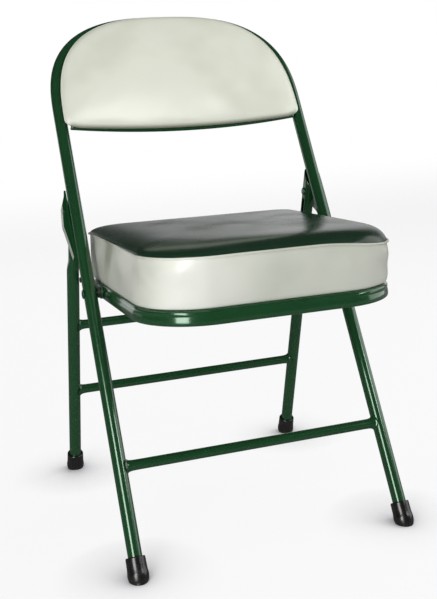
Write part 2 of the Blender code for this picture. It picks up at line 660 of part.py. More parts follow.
# Seat side brackets, their sliding studs, the pivot pins and spacers
END_R = 10.0
for side_name, side in SIDES:
    rings = []
    for x in (BRACKET_IN, BRACKET_OUT):
        ring = []
        for i in range(11):
            a = math.radians(90 + 180 * i / 10)
            ring.append(seat_point(side * x, END_R * math.cos(a), END_R * math.sin(a)))
        for i in range(11):
            a = math.radians(-90 + 180 * i / 10)
            ring.append(seat_point(side * x, STUD_REACH + END_R * math.cos(a), END_R * math.sin(a)))
        rings.append(ring)
    verts, faces = loft(rings)
    bracket = make("seat_bracket_" + side_name, verts, faces, GREEN_PAINT, 0.0, 0.3)
    x0 = side * (BRACKET_IN - 2)
    x1 = side * (BRACKET_OUT + 2)
    cut(bracket, hole("cut_bracket_" + side_name, SEAT_AXIS, x0, x1, PIN_RADIUS + GAP))
    stud_at = seat_point(0.0, STUD_REACH, 0.0)
    profile = [(BRACKET_OUT + GAP, STUD_RADIUS), (LEG_INNER - GAP - 0.5, STUD_RADIUS), (LEG_INNER - GAP, STUD_RADIUS - 0.5)]
    verts, faces = loft(mirrored(cross_rings(stud_at, profile), side))
    make("slide_stud_" + side_name, verts, faces, BARE_STEEL, 1.0, 0.3)

    # Seat pivot pin: head inside the pan, shank through pan, bracket, spacer and tube
    inner = PAN_HALF - PAN_SHEET - 2.2
    outer = FRAME_HALF + TUBE_R + GAP
    profile = [
        (inner - 2.6, RIVET_HEAD * 0.7), (inner - 2.0, RIVET_HEAD), (inner, RIVET_HEAD), (inner, PIN_RADIUS),
        (outer, PIN_RADIUS), (outer, RIVET_HEAD), (outer + 0.6, RIVET_HEAD),
        (outer + 1.5, RIVET_HEAD * 0.88), (outer + 2.2, RIVET_HEAD * 0.5),
    ]
    verts, faces = loft(mirrored(cross_rings(SEAT_AXIS, profile), side))
    make("seat_pivot_pin_" + side_name, verts, faces, BARE_STEEL, 1.0, 0.3)
    w0 = BRACKET_OUT + GAP
    w1 = FRAME_HALF - TUBE_R - GAP
    ring = [(w0, PIN_RADIUS + GAP), (w0, 8.0), (w1, 8.0), (w1, PIN_RADIUS + GAP)]
    verts, faces = loft(mirrored(cross_rings(SEAT_AXIS, ring), side), closed=True)
    make("seat_pivot_spacer_" + side_name, verts, faces, BARE_STEEL, 1.0, 0.35)

# Put the middle of the depth on the frame's origin
depth = []
for obj in bpy.data.objects:
    if not obj.hide_render:
        depth += [v.co.y for v in obj.data.vertices]
CENTRE_Y = 500.0 * (min(depth) + max(depth))
for obj in bpy.data.objects:
    for v in obj.data.vertices:
        v.co.y -= 0.001 * CENTRE_Y

# Values for the record
print("middle of the depth", round(CENTRE_Y, 3))
fold_seat = math.degrees(math.pi / 2 - LEAN - FOLD_PART + TILT)
print("leg pivot y z", round(LEG_AXIS[1] - CENTRE_Y, 2), round(LEG_AXIS[2], 2))
print("seat pivot y z", round(SEAT_PIVOT_Y - CENTRE_Y, 2), round(SEAT_PIVOT_Z, 2))
print("stud reach", round(STUD_REACH, 2), "slot", round(SLOT_HIGH, 2), round(SLOT_LOW, 2))
print("leg turn", round(math.degrees(OPEN_ANGLE), 2), "seat turn", round(fold_seat, 2))
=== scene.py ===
# %% [markdown]
# # A padded folding chair, dressed piece by piece
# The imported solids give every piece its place. This lesson loads them as a fixed frame, makes a
# finer surface for each piece that shows, and gives each surface its finish. The solids could be
# smoothed with modifiers, but surfaces worked out from the same sizes stay exact and even.

# %% Load the frame
import json
import math

import bmesh
import bpy
import numpy as np
from mathutils import Matrix, Vector


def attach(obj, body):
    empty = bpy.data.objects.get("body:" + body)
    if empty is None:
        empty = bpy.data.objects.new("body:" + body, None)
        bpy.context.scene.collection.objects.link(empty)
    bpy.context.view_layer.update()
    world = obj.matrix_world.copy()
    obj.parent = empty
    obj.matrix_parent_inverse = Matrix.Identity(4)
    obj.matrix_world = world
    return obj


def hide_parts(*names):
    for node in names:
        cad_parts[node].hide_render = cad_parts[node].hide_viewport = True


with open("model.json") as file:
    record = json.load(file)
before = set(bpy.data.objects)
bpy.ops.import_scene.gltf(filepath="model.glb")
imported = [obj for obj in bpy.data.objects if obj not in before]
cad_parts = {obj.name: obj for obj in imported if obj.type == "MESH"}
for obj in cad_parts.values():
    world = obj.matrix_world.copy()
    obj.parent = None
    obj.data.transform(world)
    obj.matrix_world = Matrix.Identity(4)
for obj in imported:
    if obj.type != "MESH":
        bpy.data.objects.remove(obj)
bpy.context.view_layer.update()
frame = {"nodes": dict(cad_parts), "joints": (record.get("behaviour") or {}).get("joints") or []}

hinges = {hinge["name"]: hinge for hinge in frame["joints"]}

# %% [markdown]
# ## The camera
# The photograph was taken from the front, a little to one side and slightly rolled. Its focal
# length and place were worked out from the chair's own lines. A lens shift keeps the lines as
# upright as they are in the picture, where turning the camera down would make them lean.

# %% Camera
IMAGE_HIGH = 599.0
FOCAL_PIXELS = 943.744
SENSOR = 36.0
CAMERA_AT = (-0.489377, -1.401312, 0.656541)
CAMERA_TURN = math.radians(19.16445)
CAMERA_DROP = math.radians(8.66778)
CAMERA_ROLL = math.radians(2.78280)
SHIFT_X = 0.00032
SHIFT_Y = -0.0926


def link_in(name, data):
    """A new object in the scene that shows the data."""
    made = bpy.data.objects.new(name, data)
    bpy.context.scene.collection.objects.link(made)
    return made


def turned(angle, axis):
    """A turn about one axis."""
    return Matrix.Rotation(angle, 4, axis)


lens = bpy.data.cameras.new("camera")
lens.sensor_width = SENSOR
lens.lens = FOCAL_PIXELS / IMAGE_HIGH * SENSOR
lens.shift_x = SHIFT_X
lens.shift_y = SHIFT_Y
camera = link_in("camera", lens)
upright = turned(math.pi / 2 - CAMERA_DROP, 'X')
facing = turned(-CAMERA_TURN, 'Z') @ upright @ turned(-CAMERA_ROLL, 'Z')
camera.matrix_world = Matrix.Translation(CAMERA_AT) @ facing
bpy.context.scene.camera = camera
print("lens", round(lens.lens, 2), "mm")

# %% [markdown]
# ## Sizes and the three sets of axes
# The front frame leans back, the rear legs lean forward and the seat has its own slight tilt. Each
# gets a small function that turns its own measures, in millimetres, into a point, so every surface
# below can be thought out as if its part stood upright. The depth's middle comes from the seat's
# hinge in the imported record.

# %% Sizes in millimetres
TUBE_R = 10.3
FRAME_HALF = 211.0
LEAN = math.radians(29.0)
BACK = math.radians(17.2)
TILT = math.radians(1.2)
OPEN_ANGLE = LEAN + BACK
FOOT_SPREAD = 458.9
HINGE_OFFSET = 30.9
SEAT_PIVOT_Z = 372.0
GAP = 0.3
SEAT_PIVOT_Y = SEAT_PIVOT_Z * math.tan(LEAN)
CENTRE_Y = SEAT_PIVOT_Y - 1000.0 * hinges["seat_fold"]["pos_m"][1]
PIVOT_T = (FOOT_SPREAD * math.cos(LEAN) - HINGE_OFFSET) / math.sin(OPEN_ANGLE)
PIVOT_S = FOOT_SPREAD * math.sin(LEAN) + PIVOT_T * math.cos(OPEN_ANGLE)
SEAT_S = SEAT_PIVOT_Z / math.cos(LEAN)
FOOT_STAND = (4.0 + TUBE_R * math.sin(LEAN)) / math.cos(LEAN) + 0.8
SIDES = (("left", -1.0), ("right", 1.0))


def points(x, y, z):
    """The three coordinates spread to one shape and set side by side."""
    return np.stack(np.broadcast_arrays(x, y, z), axis=-1).astype(float)


def frame_point(x, s, n):
    """s up the leaning front tube and n behind its plane."""
    y = s * math.sin(LEAN) + n * math.cos(LEAN)
    z = s * math.cos(LEAN) - n * math.sin(LEAN)
    return points(x, y, z)


def leg_point(x, t, b):
    """t up the rear leg and b behind its centre line."""
    y = FOOT_SPREAD - t * math.sin(BACK) + b * math.cos(BACK)
    z = t * math.cos(BACK) + b * math.sin(BACK)
    return points(x, y, z)


def seat_point(x, y, z):
    """The seat's own axes, turned down at the back by its tilt, from the seat hinge."""
    depth = SEAT_PIVOT_Y + y * math.cos(TILT) + z * math.sin(TILT)
    height = SEAT_PIVOT_Z - y * math.sin(TILT) + z * math.cos(TILT)
    return points(x, depth, height)


SEAT_AXIS = seat_point(0.0, 0.0, 0.0)
LEG_AXIS = leg_point(0.0, PIVOT_T, 0.0)
print("leg hinge", np.round(LEG_AXIS, 1), "depth middle", round(CENTRE_Y, 2))

# %% [markdown]
# ## From a grid of points to a piece
# Every surface below is a grid: rows along the piece and columns round it. One helper joins the
# grid's neighbours into quads, closes what has to be closed and merges points that meet. A second
# helper says which body the piece rides on and which solids it stands for.

# %% Mesh helpers
SHARP = 38.0


def surface(name, grid, loop=(False, True), caps=(False, False), keep=None):
    """Quads between neighbours; loop closes rows or columns, caps fill the two ends."""
    rows, cols = grid.shape[:2]
    index = np.arange(rows * cols).reshape(rows, cols)
    if loop[0]:
        index = np.vstack([index, index[:1]])
    if loop[1]:
        index = np.hstack([index, index[:, :1]])
    quads = np.stack([index[:-1, :-1], index[:-1, 1:], index[1:, 1:], index[1:, :-1]], axis=-1)
    quads = quads.reshape(-1, 4) if keep is None else quads[keep]
    faces = quads.tolist()
    if caps[0]:
        faces.append(list(range(cols))[::-1])
    if caps[1]:
        faces.append(list(range((rows - 1) * cols, rows * cols)))
    metres = (grid.reshape(-1, 3) - (0.0, CENTRE_Y, 0.0)) * 0.001
    mesh = bpy.data.meshes.new(name)
    mesh.from_pydata(metres.tolist(), [], faces)
    work = bmesh.new()
    work.from_mesh(mesh)
    bmesh.ops.remove_doubles(work, verts=work.verts, dist=1e-6)
    loose = [v for v in work.verts if not v.link_faces]
    bmesh.ops.delete(work, geom=loose, context='VERTS')
    bmesh.ops.recalc_face_normals(work, faces=work.faces)
    work.to_mesh(mesh)
    work.free()
    mesh.shade_smooth()
    mesh.set_sharp_from_angle(angle=math.radians(SHARP))
    return link_in(name, mesh)


def place(piece, body, slot, finish, *nodes):
    """The piece rides on the body, stands for the nodes and wears the finish."""
    piece.data.materials.append(finish)
    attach(piece, body)
    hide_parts(*nodes)
    print(piece.name, len(piece.data.vertices), "points, on", body)


def thicken(piece, sheet, offset=-1.0):
    """Solidify: a wall as thick as the sheet, inwards unless told otherwise."""
    wall = piece.modifiers.new("wall", 'SOLIDIFY')
    wall.thickness = sheet * 0.001
    wall.offset = offset


def carry(piece, name, values):
    """A value for each point of the mesh, for a shader to read."""
    piece.data.attributes.new(name, 'FLOAT', 'POINT').data.foreach_set("value", values)


def mesh_points(mesh):
    """Every point of a mesh, in metres."""
    flat = np.zeros(len(mesh.vertices) * 3)
    mesh.vertices.foreach_get("co", flat)
    return flat.reshape(-1, 3)


def unit(value):
    """The value kept between nought and one."""
    return np.clip(value, 0.0, 1.0)


def ease(value):
    """Smooth step from nought to one."""
    value = unit(value)
    return value * value * (3.0 - 2.0 * value)


def smooth_line(stops, count):
    """Catmull-Rom curve: each span leaves along the line between its neighbours."""
    p = np.asarray(stops, float)
    p = np.vstack([2 * p[0] - p[1], p, 2 * p[-1] - p[-2]])
    at = np.linspace(0.0, len(p) - 3.0, count)
    i = np.minimum(at.astype(int), len(p) - 4)
    w = (at - i)[:, None]
    a, b, c, d = p[i], p[i + 1], p[i + 2], p[i + 3]
    bend = (2 * a - 5 * b + 4 * c - d) * w ** 2
    twist = (3 * b - a - 3 * c + d) * w ** 3
    return 0.5 * (2 * b + (c - a) * w + bend + twist)


def even(line, count):
    """Points spaced evenly along a line of points."""
    step = np.linalg.norm(np.diff(line, axis=0), axis=1)
    run = np.concatenate([[0.0], np.cumsum(step)])
    stops = np.linspace(0.0, run[-1], count)
    return np.stack([np.interp(stops, run, line[:, k]) for k in range(line.shape[1])], axis=1)


def rounded(outline, times):
    """Corner cutting: each side of the closed outline keeps its middle half, again and again."""
    line = np.asarray(outline, float)
    for _ in range(times):
        after = np.roll(line, -1, axis=0)
        line = np.stack([0.75 * line + 0.25 * after, 0.25 * line + 0.75 * after], axis=1)
        line = line.reshape(-1, 2)
    return line


def turn(count):
    """Angles once round, the last one left out because it meets the first."""
    return np.linspace(0.0, 2 * math.pi, count, endpoint=False)


print("helpers ready")

# %% [markdown]
# ## Shader sums
# A finish is a small graph of nodes. Linking them by hand hides the idea, so one class wraps a
# socket: adding or multiplying wrapped sockets adds Math nodes, and one method makes any other
# node from its type, its settings and what goes into its sockets.

# %% The socket class
class Wire:
    """A socket of a material's node tree, on which plain sums work."""

    def __init__(self, tree, socket=None):
        self.tree = tree
        self.socket = socket

    def node(self, kind, settings=None, inputs=None, output=0):
        """A new node: settings first, then values or wires into its sockets."""
        made = self.tree.nodes.new(kind)
        for key, value in (settings or {}).items():
            setattr(made, key, value)
        for key, value in (inputs or {}).items():
            if isinstance(value, Wire):
                self.tree.links.new(value.socket, made.inputs[key])
            else:
                made.inputs[key].default_value = value
        return Wire(self.tree, made.outputs[output])

    def other(self, output):
        """Another output of the same node."""
        return Wire(self.tree, self.socket.node.outputs[output])

    def sum(self, operation, first, second):
        """A Math node on two values or wires."""
        return self.node("ShaderNodeMath", {"operation": operation}, {0: first, 1: second})

    def __add__(self, other):
        return self.sum("ADD", self, other)

    __radd__ = __add__

    def __sub__(self, other):
        return self.sum("SUBTRACT", self, other)

    def __rsub__(self, other):
        return self.sum("SUBTRACT", other, self)

    def __mul__(self, other):
        return self.sum("MULTIPLY", self, other)

    __rmul__ = __mul__

    def __pow__(self, other):
        return self.sum("POWER", self, other)


def new_finish(name):
    """A material, its Principled shader, a wire to build from and object coordinates in metres."""
    finish = bpy.data.materials.new(name)
    finish.use_nodes = True
    wire = Wire(finish.node_tree)
    where = wire.node("ShaderNodeTexCoord", output="Object")
    return finish, wire.tree.nodes["Principled BSDF"], wire, where


def feed(shader, **sockets):
    """Values are set on the shader's sockets, wires are linked to them."""
    for key, value in sockets.items():
        socket = shader.inputs[key.replace("_", " ")]
        if isinstance(value, Wire):
            value.tree.links.new(value.socket, socket)
        else:
            socket.default_value = value


def cloud(where, scale, detail=2.0, rough=0.5):
    """Soft noise between 0 and 1, about scale lumps to the metre."""
    return where.node("ShaderNodeTexNoise", None,
                      {"Vector": where, "Scale": scale, "Detail": detail, "Roughness": rough})


def streaks(where, lumps, detail):
    """Noise with its own number of lumps to the metre along each axis."""
    drawn = where.node("ShaderNodeVectorMath", {"operation": 'MULTIPLY'}, {0: where, 1: lumps})
    return cloud(drawn, 1.0, detail)


def carried(wire, name):
    """A value that the mesh carries on its points."""
    return wire.node("ShaderNodeAttribute", {"attribute_name": name}, output="Fac")


def band(value, low, high):
    """0 below low, 1 above high and a smooth step between."""
    return value.node("ShaderNodeMapRange", {"interpolation_type": 'SMOOTHSTEP', "clamp": True},
                      {"Value": value, "From Min": low, "From Max": high})


def mix(factor, first, second):
    """One colour fading into another."""
    return factor.node("ShaderNodeMix", {"data_type": 'RGBA', "clamp_factor": True},
                       {0: factor, 6: first, 7: second}, output=2)


def bump(height, depth, strength):
    """Surface tilt from a height between 0 and 1, depth metres high."""
    return height.node("ShaderNodeBump", None,
                       {"Height": height, "Distance": depth, "Strength": strength})


print("shader helpers ready")

# %% [markdown]
# ## Dark green enamel
# The steel is dipped in a glossy dark green enamel. Up close such a coat is not flat: it has a
# fine orange peel, thin and thick places, faint dust, and on the hinge plates it is rubbed pale
# along the edges. An attribute on the mesh carries that rubbing, because a shader alone
# cannot know where hands and the folding legs touch.

# %% Enamel finishes
ENAMEL_DEEP = (0.0098, 0.052, 0.0175, 1.0)
ENAMEL_THIN = (0.0122, 0.071, 0.0225, 1.0)
ENAMEL_DUST = (0.045, 0.075, 0.050, 1.0)
ENAMEL_SHINE = (0.66, 1.0, 0.74, 1.0)
RUBBED = (0.46, 0.49, 0.44, 1.0)


def enamel(name, shine, coat, rubbed=False):
    """Enamel: thickness clouds, dust specks, orange peel and, if asked, pale rubbed edges."""
    finish, shader, wire, where = new_finish(name)
    thick = cloud(where, 16.0, 3.0)
    colour = mix(thick, ENAMEL_DEEP, ENAMEL_THIN)
    dust = band(cloud(where, 210.0, 4.0, 0.65), 0.60, 0.86)
    colour = mix(dust * 0.30, colour, ENAMEL_DUST)
    rough = 0.15 + 0.08 * cloud(where, 55.0, 3.0) + 0.18 * dust
    if rubbed:
        worn = carried(wire, "rub")
        broken = band(worn + 0.55 * cloud(where, 320.0, 4.0, 0.7), 0.72, 1.0)
        colour = mix(broken, colour, RUBBED)
        rough = rough + 0.25 * broken
    peel = cloud(where, 620.0, 1.0)
    lumps = cloud(where, 95.0, 2.0)
    height = peel * 0.25 + lumps * 0.55
    feed(shader, Base_Color=colour, Roughness=rough, Specular_IOR_Level=shine,
         Specular_Tint=ENAMEL_SHINE, Coat_Weight=coat, Coat_Roughness=0.08,
         Normal=bump(height, 0.00012, 0.30))
    return finish


GREEN_ENAMEL = enamel("green_enamel", 0.85, 0.65)
RUBBED_ENAMEL = enamel("rubbed_enamel", 0.0, 0.0, rubbed=True)
print("enamel ready")

# %% [markdown]
# ## The bent front tube
# One long tube makes both front legs and the arch over the back. It is swept: a round section is
# carried along a path that runs up one leg, over a squarish arch and down the other leg. A curve
# object with a bevel would do, but numpy keeps the section's turn fixed, so highlights run true.

# %% Front tube
ARCH_START = 736.0
ARCH_TOP = 910.3
ARCH_POWER = 2.79
ARCH_STEPS = 161
LEG_STEPS = 24
TUBE_COLUMNS = 56


def arch(half, start, top, count):
    """Squared-off half oval: both of its terms are cosine and sine raised to 2 over the power."""
    a = np.linspace(0.0, math.pi, 4001)
    x = half * np.sign(np.cos(a)) * np.abs(np.cos(a)) ** (2 / ARCH_POWER)
    s = start + (top - start) * np.abs(np.sin(a)) ** (2 / ARCH_POWER)
    return even(np.stack([x, s], axis=1), count)


def front_tube():
    """Circle of the tube's radius carried along the path, square to it."""
    rise = np.linspace(FOOT_STAND, ARCH_START, LEG_STEPS, endpoint=False)
    right = np.stack([np.full(LEG_STEPS, FRAME_HALF), rise], axis=1)
    left = right[::-1] * (-1.0, 1.0)
    path = np.vstack([right, arch(FRAME_HALF, ARCH_START, ARCH_TOP, ARCH_STEPS), left])
    along = np.gradient(path, axis=0)
    along[:LEG_STEPS + 1] = (0.0, 1.0)
    along[-LEG_STEPS - 1:] = (0.0, -1.0)
    along /= np.linalg.norm(along, axis=1)[:, None]
    a = turn(TUBE_COLUMNS)
    x = path[:, :1] + along[:, 1:] * TUBE_R * np.cos(a)
    s = path[:, 1:] - along[:, :1] * TUBE_R * np.cos(a)
    return frame_point(x, s, TUBE_R * np.sin(a))


tube = surface("tube_front", front_tube(), caps=(True, True))
place(tube, "front_frame", "green_paint", GREEN_ENAMEL, "front_frame_tube")

# %% [markdown]
# ## The stretchers and their welds
# Three thinner tubes tie the legs together. Each end is coped to the leg and brazed, and the
# enamel rounds the joint into a small fillet. The radius simply grows near the leg, falling off
# with distance, with a faint ripple for the bead.

# %% Stretchers
FRONT_BAR_R = 7.65
REAR_BAR_R = 7.75
FRONT_BAR_S = 138.2 / math.cos(LEAN)
UPPER_BAR_T = 286.9 / math.cos(BACK)
LOWER_BAR_T = 161.1 / math.cos(BACK)
FILLET = 4.0
FILLET_RUN = 3.0
BAR_ROWS = 91
BAR_COLUMNS = 40


def stretcher(location, height, radius):
    """Bar whose radius is its own plus a fillet that dies away from each coped end."""
    a = turn(BAR_COLUMNS)
    reach = np.sin(np.linspace(-1.0, 1.0, BAR_ROWS) * math.pi / 2)[:, None]
    behind = radius * np.cos(a)
    end = FRAME_HALF - np.sqrt(TUBE_R ** 2 - behind ** 2) + 0.8
    x = reach * end
    away = end - np.abs(x)
    bead = 1.0 + 0.10 * np.sin(5 * a + 0.7) * np.exp(-away / 2.0)
    grown = radius + FILLET * np.exp(-away / FILLET_RUN) * bead
    return location(x, height + grown * np.sin(a), grown * np.cos(a))


BARS = (("bar_front", frame_point, FRONT_BAR_S, FRONT_BAR_R, "front_frame", "front_stretcher"),
        ("bar_rear_upper", leg_point, UPPER_BAR_T, REAR_BAR_R, "rear_legs", "rear_upper_stretcher"),
        ("bar_rear_lower", leg_point, LOWER_BAR_T, REAR_BAR_R, "rear_legs", "rear_lower_stretcher"))
for name, location, height, radius, body, node in BARS:
    bar = surface(name, stretcher(location, height, radius), caps=(True, True))
    place(bar, body, "green_paint", GREEN_ENAMEL, node)

# %% [markdown]
# ## The rear legs
# A rear leg is round at the floor, squashed flatter above the seat so it fits between the plate
# and the seat, cut on a slant at the top where it meets the upright, and slotted on its inner
# face for the seat's stud. The slot is made by opening the seam of the section: the first and
# last columns part by the slot's width and meet again beyond it. Solidify then gives the wall.

# %% Rear legs
LEG_SQUASH = 8.8
LEG_SHIFT = 2.0
SQUASH_DEEP = TUBE_R + 0.9
MITRE_ROWS = 11
TUBE_WALL = 1.2
STUD_RADIUS = 4.5
SLOT_R = STUD_RADIUS + GAP
MITRE = TUBE_R + GAP + 0.05
REACH_PART = FOOT_SPREAD - SEAT_PIVOT_Z * math.tan(BACK) - SEAT_PIVOT_Y
STUD_REACH = REACH_PART / (math.cos(TILT) - math.sin(TILT) * math.tan(BACK))
STUD_AXIS = seat_point(0.0, STUD_REACH, 0.0)
SLOT_LOW = float(np.linalg.norm(LEG_AXIS - STUD_AXIS))
FOLD_PART = math.asin(HINGE_OFFSET / STUD_REACH)
SLOT_HIGH = PIVOT_S - SEAT_S - STUD_REACH * math.cos(FOLD_PART)
SQUASH_LOW = PIVOT_T - 0.85 * SLOT_LOW
SQUASH_HIGH = PIVOT_T - 0.66 * SLOT_LOW


def leg_rows():
    """Distances up the leg, close together where it is squashed and at the slot's round ends."""
    curl = np.sin(np.linspace(-1.0, 1.0, 17) * math.pi / 2)
    top = PIVOT_T - SLOT_HIGH + SLOT_R * curl
    low = PIVOT_T - SLOT_LOW + SLOT_R * curl
    plain = np.linspace(FOOT_STAND, PIVOT_T - SLOT_LOW - 2 * SLOT_R, 30)
    squash = np.linspace(PIVOT_T - SLOT_LOW + 2 * SLOT_R, PIVOT_T - SLOT_HIGH - 2 * SLOT_R, 40)
    return np.concatenate([plain, low, squash, top])


def leg_skin(side):
    """Squared oval that flattens up the leg, its seam parted by the slot, its top slanted."""
    t = leg_rows()[:, None]
    w = ease((t - SQUASH_LOW) / (SQUASH_HIGH - SQUASH_LOW))
    upper = np.linspace(0.0, 1.0, MITRE_ROWS + 1)[1:, None]
    part = np.vstack([np.zeros((len(t), 1)), upper])
    t = np.vstack([t, np.full((MITRE_ROWS, 1), t[-1, 0])])
    w = np.vstack([w, np.ones((MITRE_ROWS, 1))])
    half_x = TUBE_R + (LEG_SQUASH - TUBE_R) * w
    half_b = TUBE_R + (SQUASH_DEEP - TUBE_R) * w
    power = 2.0 / (2.0 + 0.9 * w)
    past = np.maximum(t - (PIVOT_T - SLOT_HIGH), (PIVOT_T - SLOT_LOW) - t)
    open_to = np.sqrt(np.clip(SLOT_R ** 2 - np.clip(past, 0.0, None) ** 2, 0.0, None))
    open_to = open_to * (part == 0.0)
    start = np.arcsin((open_to / half_b) ** (1.0 / power))
    a = math.pi + start + (2 * math.pi - 2 * start) * np.linspace(0.0, 1.0, 49)
    cos, sin = np.cos(a), np.sin(a)
    x = FRAME_HALF - LEG_SHIFT * w + half_x * np.sign(cos) * np.abs(cos) ** power
    b = half_b * np.sign(sin) * np.abs(sin) ** power
    slant = PIVOT_T + (HINGE_OFFSET + b * math.cos(OPEN_ANGLE) - MITRE) / math.sin(OPEN_ANGLE)
    return leg_point(side * x, t + part * (slant - t), b)


for side_name, side in SIDES:
    leg = surface("leg_rear_" + side_name, leg_skin(side), loop=(False, False))
    thicken(leg, TUBE_WALL)
    place(leg, "rear_legs", "green_paint", GREEN_ENAMEL, "rear_leg_" + side_name)

# %% [markdown]
# ## Black rubber feet
# Each leg stands in a moulded rubber cap, a little wider at the floor and rounded underneath. It
# is a lathe: one profile turned about the leg. Because the leg leans, whatever would go through
# the floor slides back up the leg until it lies on it. The rubber is black, with a skin that
# catches a streak of light, and is scuffed near the floor.

# %% Rubber and feet
FOOT_R = 15.3
FOOT_TOP_R = 14.2
FOOT_LENGTH = 32.5
FOOT_ROWS = 64
FOOT_COLUMNS = 56
RUBBER_DARK = (0.0090, 0.0088, 0.0080, 1.0)
RUBBER_GREY = (0.030, 0.030, 0.028, 1.0)


def rubber(name):
    """Black rubber: bloom in clouds, scuffs low down, fine pores."""
    finish, shader, wire, where = new_finish(name)
    bloom = band(cloud(where, 75.0, 4.0, 0.6), 0.45, 0.80)
    height = wire.node("ShaderNodeSeparateXYZ", None, {0: where}, output="Z")
    low = 1.0 - band(height, 0.002, 0.016)
    scuff = low * band(cloud(where, 260.0, 4.0, 0.7), 0.45, 0.70)
    colour = mix(bloom * 0.5 + scuff * 0.5, RUBBER_DARK, RUBBER_GREY)
    rough = 0.24 + 0.12 * bloom + 0.25 * scuff
    pores = cloud(where, 900.0, 2.0)
    feed(shader, Base_Color=colour, Roughness=rough, Specular_IOR_Level=0.85,
         Normal=bump(pores, 0.00012, 0.5))
    return finish


BLACK_RUBBER = rubber("black_rubber")
FOOT_PROFILE = ((0.02 * FOOT_R, -20.0), (0.60 * FOOT_R, -20.0), (0.80 * FOOT_R, -4.5),
                (0.91 * FOOT_R, -0.2), (0.985 * FOOT_R, 5.0), (FOOT_R, 9.5), (0.95 * FOOT_R, 16.0),
                (FOOT_TOP_R, FOOT_LENGTH - 3.0), (FOOT_TOP_R - 0.25, FOOT_LENGTH - 0.9),
                (FOOT_TOP_R - 0.9, FOOT_LENGTH))


def foot(location, side):
    """Profile turned about the leg; points below the floor slide up the leg to it."""
    line = smooth_line(FOOT_PROFILE, FOOT_ROWS)
    line = np.vstack([line, [(TUBE_R + GAP, FOOT_LENGTH), (TUBE_R + GAP, FOOT_STAND)]])
    radius, t = line[:, :1], line[:, 1:]
    a = turn(FOOT_COLUMNS)
    here = location(side * (FRAME_HALF + radius * np.cos(a)), t, radius * np.sin(a))
    above = location(0.0, 1.0, 0.0) - location(0.0, 0.0, 0.0)
    slide = np.clip(-here[..., 2:], 0.0, None) / above[2]
    return here + slide * above


ENDS = (("front", frame_point, "front_frame"), ("rear", leg_point, "rear_legs"))
for side_name, side in SIDES:
    for end, location, body in ENDS:
        cap = surface("cap_" + end + "_" + side_name, foot(location, side), caps=(True, True))
        place(cap, body, "black_rubber", BLACK_RUBBER, end + "_foot_" + side_name)

# %% [markdown]
# ## The steel panel behind the pad
# A pressed sheet closes the arch. Its lower edge is rolled back on itself and shows as a thin dark
# line under the pad, and two ears reach out to the uprights. It is a grid whose lowest rows follow
# a circle, with the ears' lower corners left out, and Solidify gives the sheet its thickness.

# %% Back panel
PANEL_SHEET = 1.5
PANEL_EDGE = 4.0
PANEL_MID = math.sqrt(TUBE_R ** 2 - PANEL_EDGE ** 2) + GAP + PANEL_SHEET / 2
PANEL_ROLL = 3.2
PANEL_INNER = FRAME_HALF - TUBE_R - 2.6
PANEL_OUTER = FRAME_HALF - PANEL_EDGE
PANEL_TOP = ARCH_TOP - PANEL_EDGE
PANEL_BOTTOM = 692.5
PANEL_SAG = 15.0
EAR_UP = 20.0
EAR_COLUMNS = 11
ROLL_ROWS = 14
FLAT_ROWS = 24


def panel_grid():
    """Columns across the chair; rows round the roll, then straight up to the arch."""
    ears = np.linspace(PANEL_INNER, PANEL_OUTER, EAR_COLUMNS + 1)[1:]
    x = np.concatenate([-ears[::-1], np.linspace(-PANEL_INNER, PANEL_INNER, 97), ears])
    out = unit((np.abs(x) - PANEL_INNER) / (PANEL_OUTER - PANEL_INNER))
    low = PANEL_BOTTOM + PANEL_SAG * (x / FRAME_HALF) ** 2 + PANEL_ROLL
    a = math.pi * 1.15 * np.linspace(1.0, 0.0, ROLL_ROWS + 1)[:-1, None]
    roll_s = low - PANEL_ROLL * np.sin(a)
    roll_n = np.broadcast_to(PANEL_MID - PANEL_ROLL + PANEL_ROLL * np.cos(a), roll_s.shape)
    part = np.minimum(np.abs(x) / (PANEL_OUTER + 0.05), 1.0)
    top = ARCH_START + (PANEL_TOP - ARCH_START) * (1.0 - part ** ARCH_POWER) ** (1 / ARCH_POWER)
    first = low + EAR_UP + 8.0 * out ** 2
    flat = first + (top - first) * np.linspace(0.0, 1.0, FLAT_ROWS)[:, None]
    s = np.vstack([roll_s, low[None], low[None] + 0.5 * (first - low), flat])
    n = np.vstack([roll_n, np.full((FLAT_ROWS + 2, len(x)), PANEL_MID)])
    keep = np.ones((len(s) - 1, len(x) - 1), bool)
    keep[:ROLL_ROWS + 2, :EAR_COLUMNS] = False
    keep[:ROLL_ROWS + 2, -EAR_COLUMNS:] = False
    return frame_point(x, s, -n), keep


grid, keep = panel_grid()
panel = surface("panel_back", grid, loop=(False, False), keep=keep)
thicken(panel, PANEL_SHEET, 0.0)
place(panel, "front_frame", "green_paint", GREEN_ENAMEL, "back_panel")
